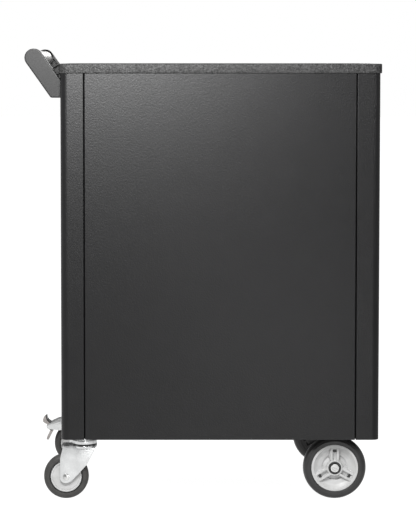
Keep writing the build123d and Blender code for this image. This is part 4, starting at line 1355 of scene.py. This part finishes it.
@dataclass
class FixedWheel:
    """One fixed wheel: spoked centre, plain bearing and tyre."""

    where: str
    rim_radius: float = 51.9 * MM
    spokes: int = 3
    spoke_size: Corner = (9.0 * MM, 15 * MM, 47 * MM)
    groove_size: Corner = (4.8 * MM, 17.5 * MM, 43.5 * MM)
    slot_size: Corner = (3.8 * MM, 34.6 * MM, 43.0 * MM)
    # The block that floors each slot, blackened as painted shade.
    slot_shade_size: Corner = (3.7 * MM, 34.7 * MM, 42.9 * MM)
    hub: Vector = field(init=False)
    radius: float = field(init=False)
    half: float = field(init=False)
    body: str = field(init=False)

    def build(self) -> None:
        """Models the wheel about its axle."""
        low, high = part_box(f"fixed_wheel_{self.where}_tyre")
        self.hub = (low + high) / 2
        self.radius = (high.x - low.x) / 2
        self.half = (high.y - low.y) / 2
        self.body = f"fixed_wheel_{self.where}"
        self.tyre()
        self.centre()
        self.bearing()

    def tyre(self) -> None:
        """A crowned tread, a step at each shoulder and a narrow bead against the centre."""
        half, radius, inner = self.half, self.radius, self.rim_radius
        near = [
            (inner - 0.2 * MM, -half + 2.0 * MM, 0.0),
            (inner + 0.8 * MM, -half + 0.8 * MM, 0.8 * MM),
            (54.5 * MM, -half + 0.3 * MM, 1.0 * MM),
            (60.5 * MM, -half, 2.0 * MM),
            (61.5 * MM, -half + 1.2 * MM, 0.6 * MM),
            (66.3 * MM, -half + 3.2 * MM, 4.0 * MM),
            (radius - 0.7 * MM, -half + 10 * MM, 8.0 * MM),
        ]
        section = both_faces(near, [(radius, 0, 10 * MM)])
        tyre = turned(f"{self.body}_tread", section, self.hub, Y_AXIS, 112, closed=True)
        settle(tyre, self.body, Shade.DARK_TYRE, [f"{self.body}_tyre"])

    def centre(self) -> None:
        """Dished centre with a bright lip, a raised hub and double-ribbed spokes on both faces."""
        half = self.half
        near = [
            (14.2 * MM, -half + 0.8 * MM, 0.4 * MM),
            (17.0 * MM, -half + 0.8 * MM, 1.0 * MM),
            (18.6 * MM, -half + 9.0 * MM, 2.0 * MM),
            (26.5 * MM, -half + 14.5 * MM, 1.0 * MM),
            (29.0 * MM, -half + 11.0 * MM, 1.5 * MM),
            (38.0 * MM, -half + 9.0 * MM, 6.0 * MM),
            (45.4 * MM, -half + 3.6 * MM, 2.0 * MM),
            (46.8 * MM, -half + 1.6 * MM, 0.8 * MM),
            (self.rim_radius, -half + 1.4 * MM, 0.8 * MM),
        ]
        parts = [turned("wheel_dish", both_faces(near), self.hub, Y_AXIS, 96, closed=True)]
        for side in SIDES:
            spoke = self.spoke(side)
            for index in range(self.spokes):
                turn = spun(self.hub, "Y", 360 * index / self.spokes)
                parts.append(copy_of(spoke, "wheel_spoke", turn))
            bpy.data.objects.remove(spoke)
        centre = join(f"{self.body}_centre", parts)
        settle(centre, self.body, Shade.RIM, [f"{self.body}_rim"], angle=38)
        self.paint_shade(centre)

    def paint_shade(self, centre: bpy.types.Object) -> None:
        """Paints shade: darkens the half that looks inwards, under the chest, and blackens the slots at the
        spokes' ends, whose floors stand in for the shade of a through slot.

        Args:
            centre: The wheel's centre, which is pale all over.
        """
        for shade in (Shade.BUSH, Shade.CORE):
            centre.data.materials.append(shade.material())
        black, dark = 1, 2
        points = [vertex.co - self.hub for vertex in centre.data.vertices]
        # Painted shade: every face on the inward half takes the darker finish.
        inward = -math.copysign(1.0, self.hub.y)
        for face in centre.data.polygons:
            if all(points[index].y * inward > 0 for index in face.vertices):
                face.material_index = dark
        # Painted shade: faces inside each slot's bounds, with the block that floors it, take the black
        # finish.
        half_width, inner, outer = self.slot_size
        spare = 0.2 * MM
        for index in range(self.spokes):
            turn = Matrix.Rotation(-2 * math.pi * index / self.spokes, 3, "Y")
            inside = {
                number
                for number, place in enumerate(turn @ point for point in points)
                if abs(place.x) < half_width + spare
                and inner - spare < place.z < outer + spare
                and abs(place.y) < self.half - 3.0 * MM
            }
            for face in centre.data.polygons:
                if inside.issuperset(face.vertices):
                    face.material_index = black

    def spoke(self, side: int) -> bpy.types.Object:
        """The upper spoke on one face: two ribs with a groove between, and a slot sunk into its end. A block
        floors the slot, and its faces are blackened later as painted shade.

        Args:
            side: 1 for the face that looks along Y, -1 for the other.

        Returns:
            The spoke.
        """
        hub = self.hub
        face = hub.y + side * (self.half - 2.2 * MM)
        root = hub.y + side * (self.half - 14.0 * MM)
        clear = face + side * 1 * MM
        bar = self.chunk("spoke", self.spoke_size, face, root)
        groove = self.chunk("groove", self.groove_size, clear, face - side * 6.5 * MM)
        ease(groove, 0.8 * MM)
        cut(bar, groove)
        cut(bar, self.chunk("slot", self.slot_size, clear, face - side * 11.4 * MM))
        with editing(bar):
            pick(bar, Part.POINTS, lambda v: abs(v.co.y - root) < IN_PLANE)
            bpy.ops.transform.resize(value=(1.5, 1, 1), center_override=(hub.x, root, hub.z + 30 * MM))
        ease(bar, 0.6 * MM)
        # Painted shade: a block floors the slot 5 mm in, and its faces are blackened with the slot's.
        slot_shade_floor = self.chunk("slot_shade_floor", self.slot_shade_size, face - side * 5.0 * MM, root)
        return join("spoke", [bar, slot_shade_floor])

    def chunk(self, name: str, size: Corner, front: float, back: float) -> bpy.types.Object:
        """A block on the upper spoke.

        Args:
            name: The block's name.
            size: Half of its width, and the radii at which it starts and ends.
            front: Where it starts along the axle.
            back: Where it ends.

        Returns:
            The block.
        """
        half_width, inner, outer = size
        low_y, high_y = sorted((front, back))
        hub = self.hub
        return block(
            name,
            Vector((hub.x - half_width, low_y, hub.z + inner)),
            Vector((hub.x + half_width, high_y, hub.z + outer)),
        )

    def bearing(self) -> None:
        """The plain bearing pressed into the hub, with a recessed face."""
        half = self.half
        near = [
            (7.1 * MM, -half + 1.2 * MM, 0.0),
            (10.0 * MM, -half + 1.2 * MM, 0.3 * MM),
            (10.6 * MM, -half + 0.1 * MM, 0.5 * MM),
            (14.0 * MM, -half + 0.1 * MM, 0.8 * MM),
        ]
        bush = turned(f"{self.body}_bush", both_faces(near), self.hub, Y_AXIS, 48, closed=True)
        settle(bush, self.body, Shade.BUSH, [f"{self.body}_bearing"])


@dataclass
class DrawerFront:
    """The folded front of one drawer and the aluminium pull along its top."""

    number: int
    sheet: float = 1.2 * MM
    grip: float = 32 * MM
    face: float = 2.5 * MM
    wall: float = 18 * MM
    pull_sheet: float = 2.2 * MM
    lip: float = 14 * MM
    leg: float = 16 * MM
    catch_rise: float = 16 * MM
    catch_root: float = -245 * MM
    catch_tooth: tuple[float, float] = (-226 * MM, -223 * MM)
    low: Vector = field(init=False)
    high: Vector = field(init=False)
    back: float = field(init=False)

    def build(self) -> None:
        """Models the pan and the pull in the place of the CAD front."""
        self.low, self.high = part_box(f"drawer_{self.number}_front")
        self.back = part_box(f"drawer_{self.number}_tray")[0].y - 0.2 * MM
        self.pan()
        self.pull()

    def pan(self) -> None:
        """Face, finger ledge and wall in one folded sheet, a cheek at each end, and the lock's catch."""
        low, high, front = self.low, self.high, self.low.y + self.face
        ledge, wall = high.z - self.grip, self.low.y + self.wall
        line = [
            (self.back, low.z, 0.0),
            (front, low.z, 2.4 * MM),
            (front, ledge, 3.0 * MM),
            (wall, ledge, 2.0 * MM),
            (wall, high.z, 0.0),
        ]
        cheek = [
            (self.back, low.z, 0.0), (front, low.z, 1.0 * MM), (front, high.z, 1.0 * MM),
            (self.back, high.z, 0.0),
        ]
        left, right = low.x + self.sheet, high.x - self.sheet
        parts = [
            slab("drawer_pan", Plane.CROSS, fold(line, self.sheet), low.x, high.x),
            slab("cheek", Plane.CROSS, cheek, low.x, left),
            slab("cheek", Plane.CROSS, cheek, right, high.x),
            slab("catch", Plane.CROSS, self.catch(), right - 2 * MM, right),
        ]
        pan = join(f"drawer_{self.number}_pan", parts)
        node = f"drawer_{self.number}_front"
        settle(pan, f"drawer_{self.number}", Shade.DRAWER, [node])

    def catch(self) -> list[Corner]:
        """Outline of the hooked tongue that the lock's bar holds.

        Returns:
            The corners, from the root's lower one.
        """
        base, root = self.low.z + self.catch_rise, self.catch_root
        front, back = self.catch_tooth
        return [
            (root, base + 10 * MM, 0.0), (front, base + 10 * MM, 0.0), (front, base + 3 * MM, 0.0),
            (back, base + 3 * MM, 0.0), (back, base + 14 * MM, 1.0 * MM), (root, base + 14 * MM, 0.0),
        ]

    def pull(self) -> None:
        """The extruded pull: top plate, finger lip and fixing leg."""
        low, high, wall = self.low, self.high, self.low.y + self.wall
        line = [
            (low.y, high.z - self.lip, 0.0),
            (low.y, high.z, 4.0 * MM),
            (wall, high.z, 2.4 * MM),
            (wall, high.z - self.leg, 0.0),
        ]
        pull = slab(
            f"drawer_{self.number}_pull",
            Plane.CROSS,
            fold(line, self.pull_sheet),
            low.x + self.sheet,
            high.x - self.sheet,
        )
        ease(pull, 0.4 * MM, angle=60)
        settle(pull, f"drawer_{self.number}", Shade.PULL, [])


# ---- The studio ---------------------------------------------------------------------------------
@dataclass(frozen=True)
class Fade:
    """A smooth change of strength between two places: where it starts and ends, and from what to what."""

    start: float
    end: float
    first: float
    last: float

    def settings(self) -> dict[str | int, Any]:
        """The settings of the node that makes it."""
        return {
            "interpolation_type": "SMOOTHSTEP",
            "From Min": self.start,
            "From Max": self.end,
            "To Min": self.first,
            "To Max": self.last,
        }


@dataclass(frozen=True)
class Lamp:
    """A soft rectangular light, unseen by the camera. Its power is in watts."""

    name: str
    place: Corner
    target: Corner
    size: tuple[float, float]
    power: float

    def build(self) -> None:
        """Hangs the light and aims it."""
        data = bpy.data.lights.new(self.name, "AREA")
        data.shape = "RECTANGLE"
        data.size, data.size_y = self.size
        data.energy = self.power
        lamp = bpy.data.objects.new(self.name, data)
        lamp.location = self.place
        line = Vector(self.target) - Vector(self.place)
        lamp.rotation_euler = line.to_track_quat("-Z", "Y").to_euler()
        lamp.visible_camera = False
        bpy.context.scene.collection.objects.link(lamp)


@dataclass
class Studio:
    """A white floor and backdrop, soft lights and the camera behind the chest.

    The floor's glow and the sky's strength are what falls on the chest. The camera sees both as white.
    """

    camera_side: float = 92.7 * MM
    camera_height: float = 975.4 * MM
    camera_distance: float = 4490 * MM
    lens: float = 140.9
    pitch: float = 3.5
    sensor: float = 36.0
    shift: tuple[float, float] = (0.0572, -0.1478)
    floor_size: float = 60.0
    glow_across: Fade = Fade(-1.3, -0.1, 0.3, 0.87)
    glow_away: Fade = Fade(0.9, 3.6, 1.0, 0.4)
    glow_seen: float = 0.985
    sky_depth: Fade = Fade(0.5, 0.95, 0.68, 0.12)
    sky_above: Fade = Fade(0.2, 0.9, 0.0, 0.8)
    # A key close to the upper corner by the handle, a strip aside, a low fill, one for the drawers.
    lamps: tuple[Lamp, ...] = (
        Lamp("key", (0.27, 1.4, 1.3), (0.22, 0.25, 0.95), (0.5, 0.4), 39.0),
        Lamp("strip_plain", (-1.2, 1.6, 1.3), (-0.39, 0.24, 0.8), (0.15, 0.9), 6.5),
        Lamp("low_fill", (-0.3, 2.2, 0.12), (0.0, 0.25, 0.07), (0.4, 0.2), 3.0),
        Lamp("front_key", (-0.9, -2.2, 1.9), (0, -0.25, 0.6), (1.2, 1.2), 30.0),
    )

    def build(self) -> None:
        """Sets the stage, the sky, the lights and the camera."""
        self.floor()
        self.sky()
        for lamp in self.lamps:
            lamp.build()
        self.camera()
        bpy.context.scene.view_settings.view_transform = "Standard"

    def floor(self) -> None:
        """A wide floor that glows towards the handle and near the chest, and looks white everywhere."""
        put_down()
        bpy.ops.mesh.primitive_plane_add(size=self.floor_size, location=(0, 0, -0.2 * MM))
        floor = new_piece("floor")
        material = bpy.data.materials.new("white_floor")
        material.use_nodes = True
        tree = material.node_tree
        shader = tree.nodes["Principled BSDF"]
        shader.inputs["Base Color"].default_value = linear("606060")
        shader.inputs["Roughness"].default_value = 0.9
        shader.inputs["Emission Color"].default_value = (1, 1, 1, 1)
        place = add(tree, "ShaderNodeTexCoord").outputs["Object"]
        parts = add(tree, "ShaderNodeSeparateXYZ", links={"Vector": place}).outputs
        glow = add(tree, "ShaderNodeMapRange", self.glow_across.settings(), {"Value": parts["X"]})
        away = add(tree, "ShaderNodeMapRange", self.glow_away.settings(), {"Value": parts["Y"]})
        cast = add(
            tree, "ShaderNodeMath", {"operation": "MULTIPLY"},
            {0: glow.outputs["Result"], 1: away.outputs["Result"]},
        )
        path = add(tree, "ShaderNodeLightPath")
        seen = add(
            tree, "ShaderNodeMath", {"operation": "MULTIPLY", 1: self.glow_seen},
            {0: path.outputs["Is Camera Ray"]},
        )
        total = add(
            tree, "ShaderNodeMath", {"operation": "MAXIMUM"},
            {0: cast.outputs["Value"], 1: seen.outputs["Value"]},
        )
        tree.links.new(total.outputs["Value"], shader.inputs["Emission Strength"])
        floor.data.materials.append(material)

    def sky(self) -> None:
        """White behind the chest; as light, dim fore and aft and brighter aside and above."""
        world = bpy.data.worlds.new("studio")
        world.use_nodes = True
        bpy.context.scene.world = world
        tree = world.node_tree
        tree.nodes.clear()
        direction = add(tree, "ShaderNodeTexCoord").outputs["Generated"]
        parts = add(tree, "ShaderNodeSeparateXYZ", links={"Vector": direction}).outputs
        depth = add(tree, "ShaderNodeMath", {"operation": "ABSOLUTE"}, {0: parts["Y"]}).outputs["Value"]
        aside = add(tree, "ShaderNodeMapRange", self.sky_depth.settings(), {"Value": depth})
        above = add(tree, "ShaderNodeMapRange", self.sky_above.settings(), {"Value": parts["Z"]})
        total = add(
            tree, "ShaderNodeMath", {"operation": "ADD"},
            {0: aside.outputs["Result"], 1: above.outputs["Result"]},
        )
        lit = add(tree, "ShaderNodeBackground", links={"Strength": total.outputs["Value"]})
        seen = add(tree, "ShaderNodeBackground", {"Strength": 1.0, "Color": (1, 1, 1, 1)})
        path = add(tree, "ShaderNodeLightPath")
        mixed = add(
            tree,
            "ShaderNodeMixShader",
            links={
                0: path.outputs["Is Camera Ray"],
                1: lit.outputs["Background"],
                2: seen.outputs["Background"],
            },
        )
        add(tree, "ShaderNodeOutputWorld", links={"Surface": mixed.outputs["Shader"]})

    def camera(self) -> None:
        """The camera, square to the back, looking slightly down."""
        middle_x = (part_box("side_panel_plain")[0].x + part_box("side_panel_handle")[1].x) / 2
        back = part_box("back_panel")[1].y
        data = bpy.data.cameras.new("camera")
        data.lens = self.lens
        data.sensor_width = self.sensor
        data.shift_x, data.shift_y = self.shift
        camera = bpy.data.objects.new("camera", data)
        camera.location = (middle_x + self.camera_side, back + self.camera_distance, self.camera_height)
        camera.rotation_euler = (math.radians(90 - self.pitch), 0, math.pi)
        bpy.context.scene.collection.objects.link(camera)
        bpy.context.scene.camera = camera


# The CAD nodes that stay, by how their names start or end.
CAD_FINISHES = {
    "side_panel": Shade.CABINET,
    "back_panel": Shade.CABINET,
    "base_pan": Shade.CABINET,
    "top_frame": Shade.CABINET,
    "_tray": Shade.DRAWER,
    "slide_uprights": Shade.SHEET,
    "outer_slides": Shade.SHEET,
    "_runners": Shade.SHEET,
    "_middle_slides": Shade.SHEET,
    "lock_bar": Shade.SHEET,
    "lock_housing": Shade.STEEL,
    "lock_plug": Shade.STEEL,
    "caster_plates": Shade.ZINC,
    "axle_brackets": Shade.SHEET,
    "wheel_axle": Shade.STEEL,
    "swivel_bearing_balls": Shade.STEEL,
    "brake_spring": Shade.STEEL,
    "fasteners": Shade.STEEL,
}


def main() -> None:
    """Builds the looks of the chest in order."""
    logging.basicConfig(level=logging.INFO, format="%(message)s")
    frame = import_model()
    Cabinet(CAD_FINISHES).build(frame["nodes"])
    Worktop().build()
    PushHandle().build()
    for where in ("rear", "front"):
        caster = SwivelCaster(where, braked=where == "front")
        caster.build()
        if caster.braked:
            BrakePedal().build(caster)
        FixedWheel(where).build()
    for number in range(1, 7):
        DrawerFront(number).build()
    Studio().build()


if __name__ == "__main__":
    main()
